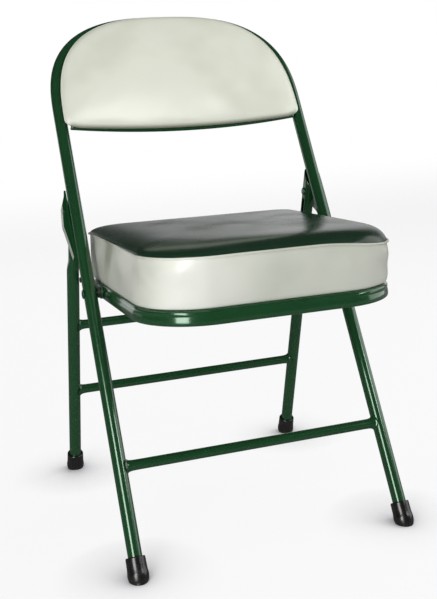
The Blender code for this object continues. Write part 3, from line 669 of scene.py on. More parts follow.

# %% [markdown]
# ## Hinge plates
# A flat plate on each upright carries the rear leg's rivet. Its outline is a polygon of given points
# with its corners cut round, carried through the plate's thickness with a small rounded edge. Its
# rear and lower edge turns out to a narrow lip, where the enamel has worn pale, and the rub
# attribute is 1 there.

# %% Hinge plates
ARM = HINGE_OFFSET
TAIL = 0.66 * (PIVOT_S - SEAT_S)
PLATE_IN = FRAME_HALF + TUBE_R + GAP
PLATE_OUT = PLATE_IN + 3.0
PLATE_OUTLINE = ((25.0, 1.0), (25.0, 7.0), (19.0, 10.0), (17.5, ARM - 4.0), (15.5, ARM + 6.0),
                 (10.0, ARM + 13.0), (1.0, ARM + 18.5), (-10.0, ARM + 24.0), (-16.0, ARM + 26.0),
                 (-22.0, ARM + 24.5), (-29.0, ARM + 18.0), (2.5 - TAIL, 6.5), (-TAIL, 4.0),
                 (1.0 - TAIL, 1.0))
EDGE_ROUND = 0.9
EDGE_ROWS = 5
PLATE_STEPS = 180
FACE_STEPS = (1.0, 2.0, 3.2)
FACE_PARTS = (0.7, 0.4, 0.1)
LIP = 2.4


def round_edge(inner, outer, radius):
    """Rows round a sheet's edge from its inner face to its outer: how far drawn in, and where."""
    curl = np.linspace(0.0, math.pi / 2, EDGE_ROWS)
    draw = radius * (1 - np.cos(curl))
    back = radius * (1 - np.sin(curl))
    return np.concatenate([draw[::-1], draw]), np.concatenate([inner + back[::-1], outer - back])


def worn_part(s, n):
    """1 along the rear and lower edge, 0 along the tube and at the tab."""
    return unit((n - 5.0) / 6.0) * unit((16.0 - s) / 6.0)


def rub(ring, line):
    """Full on the rear and lower edge, fading over a few millimetres of the face."""
    near = np.min(np.linalg.norm(ring[:, None] - line, axis=2), axis=1)
    return worn_part(ring[:, 0], ring[:, 1]) * unit(1.5 - near / 5.0)


def plate(side):
    """Outline drawn in at both faces, a lip on the worn part, then the face; and the rub."""
    line = rounded(PLATE_OUTLINE, 3)
    line = even(np.vstack([line, line[:1]]), PLATE_STEPS + 1)[:-1]
    ahead = np.roll(line, -1, axis=0) - np.roll(line, 1, axis=0)
    ahead /= np.linalg.norm(ahead, axis=1)[:, None]
    inward = np.stack([-ahead[:, 1], ahead[:, 0]], axis=1)
    inward *= np.sign(np.sum(inward * (line.mean(axis=0) - line)))
    draw, deep = round_edge(PLATE_IN, PLATE_OUT, EDGE_ROUND)
    rim = line[None] + draw[:, None, None] * inward[None]
    middle = line.mean(axis=0)
    inner = [rim[-1] + inward * more for more in FACE_STEPS]
    face = [middle + (inner[-1] - middle) * part for part in FACE_PARTS]
    ring = np.concatenate([rim, np.stack(inner + face)])
    x = np.concatenate([deep, np.full(len(inner + face), PLATE_OUT)])
    lip = np.zeros(len(x))
    lip[EDGE_ROWS:2 * EDGE_ROWS + 1] = LIP
    x = x[:, None] + lip[:, None] * worn_part(line[:, 0], line[:, 1])
    worn = rub(ring.reshape(-1, 2), line)
    return frame_point(side * x, PIVOT_S + ring[..., 0], ring[..., 1]), worn


for side_name, side in SIDES:
    grid, worn = plate(side)
    hinge_plate = surface("plate_hinge_" + side_name, grid, caps=(True, True))
    carry(hinge_plate, "rub", worn)
    place(hinge_plate, "front_frame", "green_paint", RUBBED_ENAMEL, "hinge_plate_" + side_name)

# %% [markdown]
# ## Rivets, pins, washers and studs
# The small turned parts are lathes about a line that runs across the chair. Rivet heads are low
# domes. The ones that were fitted before dipping are green, the ones that slide stay bare steel,
# which is brushed round its axis and a little stained.

# %% Steel and turned parts
PIN_R = 4.0
HEAD_R = 7.2
WASHER_R = 9.5
SPACER_R = 8.0
LATHE_COLUMNS = 32
LEG_INNER = FRAME_HALF - LEG_SHIFT - LEG_SQUASH
LEG_OUTER = FRAME_HALF - LEG_SHIFT + LEG_SQUASH
PAN_HALF = FRAME_HALF - TUBE_R - 8.4
BRACKET_IN = PAN_HALF + GAP
BRACKET_OUT = BRACKET_IN + 2.8
STEEL_LIGHT = (0.13, 0.145, 0.13, 1.0)
STEEL_STAIN = (0.050, 0.050, 0.042, 1.0)


def steel(name):
    """Bare steel: brushed lines round its axis, stains in clouds."""
    finish, shader, wire, where = new_finish(name)
    stain = band(cloud(where, 120.0, 4.0, 0.6), 0.48, 0.75)
    lines = streaks(where, (3000.0, 60.0, 60.0), 2.0)
    colour = mix(stain, STEEL_LIGHT, STEEL_STAIN)
    rough = 0.28 + 0.12 * lines + 0.20 * stain
    feed(shader, Base_Color=colour, Roughness=rough, Metallic=1.0,
         Normal=bump(lines, 0.00005, 0.4))
    return finish


BARE_STEEL = steel("bare_steel")


def dome(start, out):
    """Low domed head from its flat to its crown, as rows of x and radius."""
    a = np.linspace(0.0, math.pi / 2, 9)[:-1]
    bulge = np.stack([start + out * (0.5 + 1.8 * np.sin(a)), HEAD_R * np.cos(a) ** 0.7], axis=1)
    return np.vstack([[(start, HEAD_R)], bulge, [(start + out * 2.32, 0.25)]])


def lathe(axis, profile, side):
    """Rows of x and radius turned about a line across the chair."""
    line = np.asarray(profile, float)
    a = turn(LATHE_COLUMNS)
    x = np.broadcast_to(side * line[:, :1], (len(line), LATHE_COLUMNS))
    return points(x, axis[1] + line[:, 1:] * np.cos(a), axis[2] + line[:, 1:] * np.sin(a))


def ring_profile(start, end, radius):
    """Washer or spacer: bore, chamfered outside, bore again."""
    bore = PIN_R + GAP
    return [(start, bore), (start, radius - 0.3), (start + 0.3, radius), (end - 0.3, radius),
            (end, radius - 0.3), (end, bore)]


def headed(inner, outer):
    """Shank with a dome at each end."""
    left = dome(inner, -1.0)[::-1]
    right = dome(outer, 1.0)
    return np.vstack([left, [(inner, PIN_R), (outer, PIN_R)], right])


STUD_FROM = BRACKET_OUT + GAP
STUD_TO = LEG_INNER - GAP
STUD = ((STUD_FROM, 0.3), (STUD_FROM, STUD_RADIUS), (STUD_TO - 0.6, STUD_RADIUS),
        (STUD_TO, STUD_RADIUS - 0.6), (STUD_TO, 0.3))
RIVET = headed(LEG_INNER - GAP, PLATE_OUT + GAP)
WASHER = ring_profile(LEG_OUTER + GAP, PLATE_IN - GAP, WASHER_R)
PIN = headed(PAN_HALF - 3.6, FRAME_HALF + TUBE_R + GAP)
SPACER = ring_profile(STUD_FROM, FRAME_HALF - TUBE_R - GAP, SPACER_R)
SOLID = {"caps": (True, True)}
RING = {"loop": (True, True)}
ON_FRAME = ("front_frame", "bare_steel")
TURNED = (("rivet_leg_", "leg_pivot_rivet_", LEG_AXIS, RIVET, SOLID,
           ("front_frame", "green_paint", GREEN_ENAMEL)),
          ("washer_leg_", "leg_washer_", LEG_AXIS, WASHER, RING, (*ON_FRAME, BARE_STEEL)),
          ("pin_seat_", "seat_pivot_pin_", SEAT_AXIS, PIN, SOLID, (*ON_FRAME, GREEN_ENAMEL)),
          ("spacer_seat_", "seat_pivot_spacer_", SEAT_AXIS, SPACER, RING, (*ON_FRAME, BARE_STEEL)),
          ("stud_slide_", "slide_stud_", STUD_AXIS, STUD, SOLID, ("seat", "bare_steel", BARE_STEEL)))
for side_name, side in SIDES:
    for name, node, axis, profile, closed, worn_as in TURNED:
        piece = surface(name + side_name, lathe(axis, profile, side), **closed)
        place(piece, *worn_as, node + side_name)

# %% [markdown]
# ## The seat pan and its side brackets
# Under the cushion is a shallow pressed tray with a rounded rim, open below. Its rings are one
# rounded rectangle, drawn in and raised step by step up the outside and down the inside. Each
# side bracket is a flat bar with round ends, its rim lightly rounded like the plates.

# %% Seat outline and pan
PAN_FRONT = 272.8
PAN_REAR = 116.0
PAN_CORNER = 94.0
REAR_CORNER = 48.0
PAN_TOP = 10.0
PAN_DEEP = 12.0
PAN_OUTSIDE = ((60.0, 1.00, 26.0), (8.0, 1.00, 11.0), (5.0, 0.86, 7.5), (2.7, 0.45, 4.0),
               (1.1, 0.0, 1.5), (0.2, -0.45, 0.0), (0.6, -0.82, 0.0), (3.6, -1.00, 0.0),
               (9.2, -1.00, 0.0))
PAN_INSIDE = ((9.2, -0.88, 0.0), (5.2, -0.88, -2.0), (2.9, -0.78, -3.0), (1.6, -0.45, -3.0),
              (1.4, 0.0, 1.0), (2.5, 0.45, 7.0), (4.6, 0.76, 13.0), (8.4, 0.88, 18.0),
              (60.0, 0.88, 26.0))


def seat_outline(half, front, rear, front_corner, rear_corner):
    """Rounded rectangle once round from the middle of its front, one row for each set of sizes."""
    size = [np.atleast_1d(np.asarray(v, float))[:, None]
            for v in (half, front, rear, front_corner, rear_corner)]
    half, front, rear, rf, rb = np.broadcast_arrays(*size)
    rf = np.clip(rf, 3.0, half - 1.0)
    rb = np.clip(rb, 3.0, half - 1.0)
    run = np.linspace(0.0, 1.0, 13)
    a = np.radians(np.linspace(-90.0, 0.0, 37))
    b = np.radians(np.linspace(0.0, 90.0, 21))
    long = np.linspace(0.0, 1.0, 25)[1:-1]
    side_from = rf - front
    side_to = rear - rb
    x = [run[:-1] * (half - rf), half - rf + rf * np.cos(a), half + 0.0 * long,
         half - rb + rb * np.cos(b), (half - rb) * (1.0 - run[1:])]
    y = [-front + 0.0 * run[:-1], rf - front + rf * np.sin(a), side_from + (side_to - side_from) * long,
         rear - rb + rb * np.sin(b), rear + 0.0 * run[1:]]
    x, y = np.hstack(x), np.hstack(y)
    return np.hstack([x, -x[:, -2:0:-1]]), np.hstack([y, y[:, -2:0:-1]])


def pan_grid():
    """The pan's profile of inset, height and corner, carried round the outline."""
    outer = smooth_line(PAN_OUTSIDE[1:], 40)
    inner = smooth_line(PAN_INSIDE[:-1], 40)
    line = np.vstack([PAN_OUTSIDE[:1], outer, inner, PAN_INSIDE[-1:]])
    inset, height, tighter = line.T
    x, y = seat_outline(PAN_HALF - inset, PAN_FRONT - inset, PAN_REAR - inset,
                        PAN_CORNER - tighter, REAR_CORNER - inset)
    return seat_point(x, y, (height * np.where(height > 0.0, PAN_TOP, PAN_DEEP))[:, None])


pan = surface("pan_seat", pan_grid(), caps=(True, True))
place(pan, "seat", "green_paint", GREEN_ENAMEL, "seat_pan")

BRACKET_R = 10.0
BRACKET_ROUND = 0.7
BRACKET_MIDDLE = 0.5


def bracket(side):
    """Flat bar with half-round ends, its rim rounded, in the seat's axes."""
    a = np.linspace(0.5, 1.5, 25) * math.pi
    ends = np.concatenate([a, a + math.pi])
    shift = np.repeat([0.0, STUD_REACH], 25)
    draw, edge = round_edge(BRACKET_IN, BRACKET_OUT, BRACKET_ROUND)
    face = [BRACKET_R - BRACKET_MIDDLE]
    inset = np.concatenate([face, draw, face])[:, None]
    x = np.concatenate([[BRACKET_IN], edge, [BRACKET_OUT]])
    y = shift + (BRACKET_R - inset) * np.cos(ends)
    z = (BRACKET_R - inset) * np.sin(ends)
    return seat_point(side * x[:, None], y, z)


for side_name, side in SIDES:
    piece = surface("bracket_seat_" + side_name, bracket(side), caps=(True, True))
    place(piece, "seat", "green_paint", GREEN_ENAMEL, "seat_bracket_" + side_name)

# %% [markdown]
# ## Vinyl
# The pads are covered in coated cloth: pale cream on the back and round the seat, dark green on
# the seat's top. It has a fine leather grain, faint scuffs, and grime in soft clouds. Grain is
# made from Voronoi cells, which give the little pebbles that noise alone does not. The band round
# the seat is darkened with painted shade on its left side and from its left front corner to its
# right end, and that corner is left pale as a painted highlight. The back pad has painted shade
# where it folds under its lower edge.

# %% Vinyl finishes
CREAM_CLEAN = (0.735, 0.760, 0.650, 1.0)
# The band's clean colour is paler than the cream's and is a painted highlight at its left front corner;
# its soiled colour serves as both soil and painted shade.
BAND_CLEAN_SHEEN = (0.860, 0.875, 0.790, 1.0)
CREAM_SOILED = (0.560, 0.575, 0.465, 1.0)
BAND_SOILED_SHADE = (0.400, 0.425, 0.330, 1.0)
# Painted shade where the back pad rolls under its lower edge.
FOLD_SHADE_COLOUR = (0.13, 0.14, 0.10, 1.0)
# Where the band gets painted shade: its left side, and from its left front corner to the right, more at
# the right end.
SHADE_LEFT_SIDE = (-0.150, -0.195)
SHADE_FROM_CORNER = (-0.170, 0.020)
SHADE_RIGHT_END = (0.165, 0.195)
GREEN_DARK = (0.0110, 0.0360, 0.0180, 1.0)
GREEN_WORN = (0.0200, 0.0480, 0.0270, 1.0)


def vinyl(name, clean_and_sheen, soil_and_shade, gloss, soil, grain, shine, left=0.0, right=0.0, fold_shaded=False):
    """Coated cloth: grain of small cells, soil in clouds, painted shade towards the two sides, fine
    scuffs.
    """
    finish, shader, wire, where = new_finish(name)
    across = wire.node("ShaderNodeSeparateXYZ", None, {0: where}, output="X")
    grime = band(cloud(where, 11.0, 2.0, 0.45), 0.42, 0.72)
    # Painted shade on the band: its left side, mottled by the grime, and everything right of its left
    # front corner, more at the right end; the corner stays pale as a painted highlight.
    painted_shade = left * band(across, *SHADE_LEFT_SIDE) * (0.6 + 0.8 * grime)
    painted_shade = painted_shade + right * (band(across, *SHADE_FROM_CORNER) + 0.4 * band(across, *SHADE_RIGHT_END))
    specks = band(cloud(where, 150.0, 5.0, 0.7), 0.62, 0.80)
    colour = mix(grime * soil + specks * (0.6 * soil) + painted_shade, clean_and_sheen, soil_and_shade)
    # Painted shade along the back pad's rolled-under lower edge, read from the fold attribute.
    if fold_shaded:
        colour = mix(carried(wire, "fold"), colour, FOLD_SHADE_COLOUR)
    cells = wire.node("ShaderNodeTexVoronoi", {"feature": 'F1'}, {"Vector": where, "Scale": 780.0},
                      output="Distance")
    fine = cloud(where, 1500.0, 2.0)
    lumps = cloud(where, 60.0, 2.0)
    height = cells * 0.45 + fine * 0.20 + lumps * 0.30
    rough = gloss + 0.06 * grime + 0.06 * specks
    feed(shader, Base_Color=colour, Roughness=rough, Specular_IOR_Level=shine,
         Normal=bump(height, 0.00028, grain))
    return finish


# The band's left and right amounts set its painted shade; the cream's fold is painted shade under the
# back pad's lower edge.
CREAM_VINYL = vinyl("cream_vinyl", CREAM_CLEAN, CREAM_SOILED, 0.32, 0.40, 0.25, 0.8, fold_shaded=True)
BAND_VINYL = vinyl("band_vinyl", BAND_CLEAN_SHEEN, BAND_SOILED_SHADE, 0.32, 0.16, 0.25, 0.7,
                   left=0.70, right=0.47)
GREEN_VINYL = vinyl("green_vinyl", GREEN_DARK, GREEN_WORN, 0.24, 0.80, 0.10, 0.5)
print("vinyl ready")

# %% [markdown]
# ## Swelling a pad
# A pad is foam under a tight cover. Its cover is worked out as a closed grid a little too small,
# and then Blender's cloth blows it up from inside while the sewn lines stay pinned, which gives
# the fullness between seams. How far a point may move is capped and the moves are smoothed, so
# the cover stays in its place and free of ripples.

# %% Cloth helper
SWELL_FRAMES = 20
SMOOTH_PASSES = 40
CALM_ROWS = 22
CALM_EASE = 14.0
CLOTH = {"quality": 5, "mass": 0.35, "tension_stiffness": 30.0, "compression_stiffness": 30.0,
         "shear_stiffness": 12.0, "bending_stiffness": 1.5, "use_pressure": True,
         "uniform_pressure_force": 4.0, "vertex_group_mass": "pins"}


def swell(grid, pinned, cap):
    """Cloth with pressure on the closed grid; moves are eased towards the cap, in millimetres."""
    rows, cols = grid.shape[:2]
    blank = surface("swelling", grid, caps=(True, True))
    before = mesh_points(blank.data)
    if len(before) != rows * cols:
        raise ValueError("the pad's grid has points that meet")
    pins = blank.vertex_groups.new(name="pins")
    pins.add(np.flatnonzero(np.repeat(pinned, cols)).tolist(), 1.0, 'REPLACE')
    cloth = blank.modifiers.new("cloth", 'CLOTH')
    for key, value in CLOTH.items():
        setattr(cloth.settings, key, value)
    cloth.settings.effector_weights.gravity = 0.0
    cloth.collision_settings.use_collision = False
    cloth.point_cache.frame_start = 1
    cloth.point_cache.frame_end = SWELL_FRAMES
    for step in range(1, SWELL_FRAMES + 1):
        bpy.context.scene.frame_set(step)
    view = blank.evaluated_get(bpy.context.evaluated_depsgraph_get())
    move = (mesh_points(view.data) - before) * 1000.0
    far = np.linalg.norm(move, axis=1)[:, None]
    eased = move * cap * np.tanh(far / cap) / np.maximum(far, 1e-9)
    print("swelled by up to", round(float(far.max()), 2), "mm, capped at", cap)
    bpy.data.objects.remove(blank, do_unlink=True)
    bpy.context.scene.frame_set(1)
    eased = eased.reshape(grid.shape)
    for _ in range(SMOOTH_PASSES):
        eased = 0.5 * eased + 0.25 * (np.roll(eased, 1, axis=1) + np.roll(eased, -1, axis=1))
        inner = 0.5 * eased[1:-1] + 0.25 * (eased[2:] + eased[:-2])
        eased[1:-1] = np.where(pinned[1:-1, None, None], eased[1:-1], inner)
    calm = unit((np.arange(rows) - rows + CALM_ROWS) / CALM_EASE)[:, None, None]
    eased = eased + calm * (eased[-CALM_ROWS:].mean(axis=(0, 1)) - eased)
    return grid + eased


def outward(grid):
    """Unit normals of a grid that closes round its columns, pointing away from its middle."""
    across = np.roll(grid, -1, axis=1) - np.roll(grid, 1, axis=1)
    normal = np.cross(across, np.gradient(grid, axis=0))
    normal /= np.maximum(np.linalg.norm(normal, axis=2), 1e-9)[..., None]
    facing = np.sum(normal * (grid - grid.reshape(-1, 3).mean(axis=0)))
    return normal * np.sign(facing)


print("cloth helper ready")

# %% [markdown]
# ## The seat cushion
# The cushion is a cream band sewn to a green top, with a welt in the seam. Band and top are one
# grid while they swell, pinned where they are tacked under the pan's edge and along the seam, and
# are parted afterwards. The top rolls up steeply from the seam and eases into a flat, and the seam
# lies lower at the front corners.

# %% Seat cushion grid
CUSHION_BASE = PAN_TOP + GAP
SEAM_Z = 81.2
LOW_HALF = PAN_HALF - 3.3
LOW_FRONT = PAN_FRONT - 3.4
LOW_REAR = PAN_REAR - 2.0
LOW_CORNER = PAN_CORNER - 6.0
TOP_HALF = PAN_HALF - 8.0
TOP_FRONT = PAN_FRONT + 13.0
TOP_REAR = PAN_REAR + 2.0
TOP_CORNER = 92.0
TOP_REAR_CORNER = 20.0
LOW_SIZES = (LOW_HALF, LOW_FRONT, LOW_REAR, LOW_CORNER, REAR_CORNER)
TOP_SIZES = (TOP_HALF, TOP_FRONT, TOP_REAR, TOP_CORNER, TOP_REAR_CORNER)
RIGHT_DIP = 11.0
LEFT_DIP = 1.5
BULGE = 2.4
CROWN = 12.8
SEAT_SWELL = 1.8
TACKED_ROWS = 4
BAND_STOPS = np.array([0.0, 0.008, 0.03, 0.07, *np.linspace(0.12, 0.90, 22),
                       0.93, 0.955, 0.975, 0.988])
DRAW_IN = 0.98 * np.linspace(0.0, 1.0, 46) ** 1.9


def seam_height(x, y):
    """The seam lies lower at the two front corners, more so at the right."""
    front = ease((-y - 60.0) / 170.0)
    dips = RIGHT_DIP * ease((x - 40.0) / 150.0) + LEFT_DIP * ease((-x - 60.0) / 130.0)
    return SEAM_Z - front * dips


def crown_height(drawn):
    """A steep roll off the seam that eases into the flat of the seat."""
    return CROWN * np.sqrt(1.0 - (1.0 - drawn) ** 10.0)


def band_rows():
    """Rows of the cream band: part of the way up, and how far it is drawn in."""
    tuck = 3.5 * np.exp(-BAND_STOPS / 0.02) + 1.4 * np.exp(-(1.0 - BAND_STOPS) / 0.012)
    part = np.concatenate([[0.0, 0.0], BAND_STOPS, [1.0]])
    inset = np.concatenate([[60.0, 12.0], tuck, [2.6]])
    return part, inset


def cushion_grid():
    """Band rows from under the pan's edge to the seam, then the top drawn in to its middle."""
    part, inset = band_rows()
    inset = inset - BULGE * np.sin(math.pi * part)
    blend = [low + (high - low) * part for low, high in zip(LOW_SIZES, TOP_SIZES)]
    x, y = seat_outline(*[size - inset for size in blend])
    z = CUSHION_BASE + (seam_height(x, y) - CUSHION_BASE) * part[:, None]
    rim_x, rim_y = seat_outline(*TOP_SIZES)
    left = 1.0 - DRAW_IN[:, None]
    middle_y = 0.5 * (TOP_REAR - TOP_FRONT)
    top_x = left * rim_x
    top_y = middle_y + left * (rim_y - middle_y)
    dip = (SEAM_Z - seam_height(rim_x, rim_y)) * left ** 26
    top_z = SEAM_Z + 0.9 - dip + crown_height(DRAW_IN[:, None])
    return seat_point(np.vstack([x, top_x]), np.vstack([y, top_y]), np.vstack([z, top_z]))


cushion_start = cushion_grid()
BAND_ROWS = len(band_rows()[0])
pinned_rows = np.zeros(len(cushion_start), bool)
pinned_rows[:TACKED_ROWS] = True
pinned_rows[BAND_ROWS - 2:BAND_ROWS + 1] = True
cushion_skin = swell(cushion_start, pinned_rows, SEAT_SWELL)
print("cushion rows", len(cushion_start), "columns", cushion_start.shape[1])

# %% [markdown]
# ## Creases and dents in the seat
# An old vinyl seat is never even. The band has soft dents and a few upright creases near the rear
# of its sides, and the seam gathers slightly between stitches. These are sums of a few waves along
# the outline, strongest midway between the seams, pushed along the surface's own normals.

# %% Seat creases and the three pieces
def worn_cushion(grid):
    """Waves along the outline times a hump across the band, plus a fine pucker beside the seam."""
    rows, cols = grid.shape[:2]
    u = turn(cols)[None]
    row = np.arange(rows)[:, None]
    across = unit((row - 3.0) / (BAND_ROWS - 5.0))
    hump = np.sin(math.pi * across) ** 0.8
    dents = 0.55 * np.sin(7 * u + 1.3) + 0.40 * np.sin(13 * u + 2.1 + 2.0 * across)
    dents = dents + 0.30 * np.sin(23 * u + 0.4)
    tilted = 0.45 * np.sin(17 * u + 5.0 * across + 0.8)
    corner = 2.2 * np.exp(-((u - 5.32) / 0.35) ** 2) + 1.4 * np.exp(-((u - 0.96) / 0.30) ** 2)
    corner = corner * np.cos(2 * math.pi * (across - 0.05) / 0.67)
    puckers = 0.05 * np.sin(95 * u) * np.exp(-np.abs(row - BAND_ROWS) / 2.5)
    over = unit((row - BAND_ROWS - 6.0) / 12.0)
    hollow = 0.10 * over * (np.sin(2 * u + 0.6) + 0.7 * np.sin(5 * u + 1.9))
    hollow *= unit((rows - row) / 14.0)
    push = hump * (dents + tilted) + hump ** 0.5 * corner + puckers + hollow
    return grid + push[..., None] * outward(grid)


COVER_SHEET = 1.8
COVER_ROOM = 2.7
COVER_OVERLAP = 4
cushion_skin = worn_cushion(cushion_skin)
top_skin = cushion_skin[BAND_ROWS:]
under = (top_skin - COVER_ROOM * outward(cushion_skin)[BAND_ROWS:])[COVER_OVERLAP:]
cushion = surface("cushion_seat", np.concatenate([cushion_skin[:BAND_ROWS], under]),
                  caps=(True, True))
place(cushion, "seat", "pale_vinyl", BAND_VINYL, "seat_cushion", "seat_foam")
cover = surface("cover_seat", top_skin, caps=(False, True))
thicken(cover, COVER_SHEET)
place(cover, "seat", "green_vinyl", GREEN_VINYL, "seat_top")

WELT_R = 1.5
WELT_OUT = 1.8


def welt():
    """A thin cord carried round the seam, just outside it."""
    a = turn(14)[:, None]
    grow = (WELT_OUT + WELT_R * np.cos(a))[:, 0]
    x, y = seat_outline(*[size + grow for size in TOP_SIZES])
    return seat_point(x, y, seam_height(x, y) + WELT_R * np.sin(a))


piping = surface("welt_seat", welt(), loop=(True, True))
place(piping, "seat", "pale_vinyl", BAND_VINYL, "seat_welt")

# %% [markdown]
# ## The back pad
# The pad on the back follows the arch, sags a little along its lower edge and is full and soft in
# front. Its outline is drawn in ring by ring while it comes forward, then the cloth swells it with
# its back pinned to the board. The fold attribute marks painted shade along its lower edge, where
# it rolls under.

# %% Back pad
PAD_HALF = FRAME_HALF - 3.0
PAD_TOP = ARCH_TOP + 3.5
PAD_WAIST = ARCH_START - 18.0
PAD_BOTTOM = 694.0
PAD_SAG = 9.0
PAD_BACK = PANEL_MID + PANEL_SHEET / 2 + GAP
PAD_MIDDLE = 0.5 * (PAD_BOTTOM + PAD_TOP)
PAD_TALL = 0.5 * (PAD_TOP - PAD_BOTTOM)
PAD_RIM = ((60.0, 0.0), (8.0, 0.0), (3.0, 0.2), (0.9, 1.2), (0.1, 2.8), (0.0, 4.0))
PAD_ROLL = 5.0
PAD_DOME = 11.8
PAD_SWELL = 2.2
PAD_PINNED = 10
RIM_ROWS = 14
FOLD_SHADE_WIDE = 6.0


def pad_outline():
    """Lower line that sags, a rounded corner, the arch, and the same again mirrored."""
    corner_at = PAD_HALF - 25.0
    xs = np.linspace(0.0, corner_at, 60)
    lower = np.stack([xs, PAD_BOTTOM + PAD_SAG * (xs / corner_at) ** 2], axis=1)
    w = np.linspace(0.0, 1.0, 40)[1:, None]
    knee = np.array([PAD_HALF - 3.0, PAD_BOTTOM + PAD_SAG + 4.0])
    waist = np.array([PAD_HALF, PAD_WAIST])
    corner = (1 - w) ** 2 * lower[-1] + 2 * w * (1 - w) * knee + w ** 2 * waist
    upper = arch(PAD_HALF, PAD_WAIST, PAD_TOP, 241)[1:121]
    half = np.vstack([lower, corner, upper])
    line = np.vstack([half, half[-2:0:-1] * (-1.0, 1.0), half[:1]])
    return even(line, 221)[:-1]


def pad_profile():
    """Rim, then a quick roll off the edge and a slow dome that is level in the middle."""
    inset = 100.0 * np.linspace(0.0, 1.0, 53)[1:] ** 1.7
    roll = PAD_ROLL * (1.0 - np.exp(-inset / 4.0))
    dome_up = PAD_DOME * (1.0 - (1.0 - inset / PAD_TALL) ** 2.4)
    front = np.stack([inset, PAD_RIM[-1][1] + roll + dome_up], axis=1)
    return np.vstack([PAD_RIM[:1], smooth_line(PAD_RIM[1:], RIM_ROWS - 1), front])


def pad_grid():
    """The outline drawn in by the same distance all round while its depth grows."""
    outline = pad_outline()
    line = pad_profile()
    inset, depth = line[:, :1], line[:, 1:]
    x = outline[:, 0] * (1.0 - inset / PAD_HALF)
    s = PAD_MIDDLE + (outline[:, 1] - PAD_MIDDLE) * (1.0 - inset / PAD_TALL)
    return frame_point(x, s, -(PAD_BACK + depth))


pad_start = pad_grid()
pad_pins = np.zeros(len(pad_start), bool)
pad_pins[:PAD_PINNED] = True
pad_skin = swell(pad_start, pad_pins, PAD_SWELL)


def worn_pad(grid):
    """Slow waves over the front of the pad, none at its back."""
    rows, cols = grid.shape[:2]
    u = turn(cols)[None]
    row = np.arange(rows)[:, None] / rows
    front = unit((row - 0.18) / 0.25) * unit((1.0 - row) / 0.35)
    waves = 0.45 * np.sin(5 * u + 0.5) + 0.35 * np.sin(9 * u + 6.0 * row) + 0.25 * np.sin(14 * u + 1.1)
    return grid + (front * waves)[..., None] * outward(grid)


# The pad is painted dark under its lower edge as painted shade; this mask says where.
def pad_fold_shade():
    """1 on the rim along the lower edge, fading over the first millimetres of the front."""
    low = unit((PAD_BOTTOM + PAD_SAG + 12.0 - pad_outline()[:, 1]) / 8.0)
    inset = pad_profile()[:, 0]
    inset[:RIM_ROWS] = 0.0
    return unit(1.0 - inset / FOLD_SHADE_WIDE)[:, None] ** 1.5 * low[None]


pad = surface("pad_back", worn_pad(pad_skin), caps=(True, True))
# The painted-shade mask rides on the pad's points.
carry(pad, "fold", pad_fold_shade().ravel())
place(pad, "front_frame", "pale_vinyl", CREAM_VINYL, "back_pad")

# %% [markdown]
# ## The hidden boards
# Both pads are built on plywood boards that nobody sees. Their solids stay as they are and get a
# plain wood finish, with rings stretched along the grain.

# %% Wood for the boards
WOOD_LIGHT = (0.42, 0.29, 0.17, 1.0)
WOOD_DARK = (0.24, 0.15, 0.08, 1.0)


def wood(name):
    """Rings cut lengthways: noise stretched along the grain, sharpened into bands."""
    finish, shader, wire, where = new_finish(name)
    grain = streaks(where, (6.0, 90.0, 90.0), 5.0)
    rings = band(grain, 0.38, 0.62)
    feed(shader, Base_Color=mix(rings, WOOD_LIGHT, WOOD_DARK), Roughness=0.6 + 0.2 * rings,
         Normal=bump(grain, 0.0003, 0.4))
    return finish


BOARD_WOOD = wood("board_wood")
for node in ("back_board", "seat_board"):
    mesh = frame["nodes"][node].data
    mesh.materials.clear()
    mesh.materials.append(BOARD_WOOD)
print("boards finished")

# %% [markdown]
# ## Floor, backdrop and light
# The chair stands on a white sweep. It is white paper for light and shadow and shines white to the
# camera, so the ground stays white without more light on the chair. In reflections its wall is
# dimmer at the left and fades upwards, and the sky is nearly dark, which keeps the enamel dark. A
# tall soft lamp front left is the key, a wide one lights the right side, a small one in front at
# the right draws a second line on the legs, and a strip lights the back pad alone. A small card
# shows in the enamel at the left. The lamps high up and behind only fill in and are not mirrored.

# %% Studio
SWEEP_HALF = 6.0
SWEEP_FRONT = -5.0
SWEEP_BACK = 2.7
SWEEP_ROUND = 0.9
SWEEP_TOP = 2.2
PAPER = (0.89, 0.89, 0.92, 1.0)
PAPER_MIRRORED = (0.03, 0.03, 0.03, 1.0)
SHADOW_KEEP = 0.05
SHADOW_REACH = 0.11
SHADOW_FALL = 5.0
FLOOR_WHITE = 0.88
MIRROR_FLOOR = 0.22
MIRROR_WALL = 1.15
MIRROR_LEFT = 0.50
MIRROR_DIM = 0.22
FADE_LOW = 0.82
FADE_HIGH = 1.18
FADE_LIFT = 0.80
WALL_RISE = (0.01, 0.30)
MIRROR_RISE = (0.10, 0.80)
MIRROR_MIDDLE = (0.5, 1.2)
MIRROR_RIGHT = (1.2, 2.1)


def sweep_grid():
    """Straight floor, a quarter circle, then a straight wall, drawn across the studio."""
    a = np.linspace(0.0, math.pi / 2, 24)
    floor_y = np.linspace(SWEEP_FRONT, SWEEP_BACK, 12)[:-1]
    y = np.concatenate([floor_y, SWEEP_BACK + SWEEP_ROUND * np.sin(a), [SWEEP_BACK + SWEEP_ROUND]])
    z = np.concatenate([0.0 * floor_y, SWEEP_ROUND * (1 - np.cos(a)), [SWEEP_TOP]])
    x = np.linspace(-SWEEP_HALF, SWEEP_HALF, 3)
    return points(x[None], y[:, None], z[:, None]) * 1000.0 + (0.0, CENTRE_Y, 0.0)


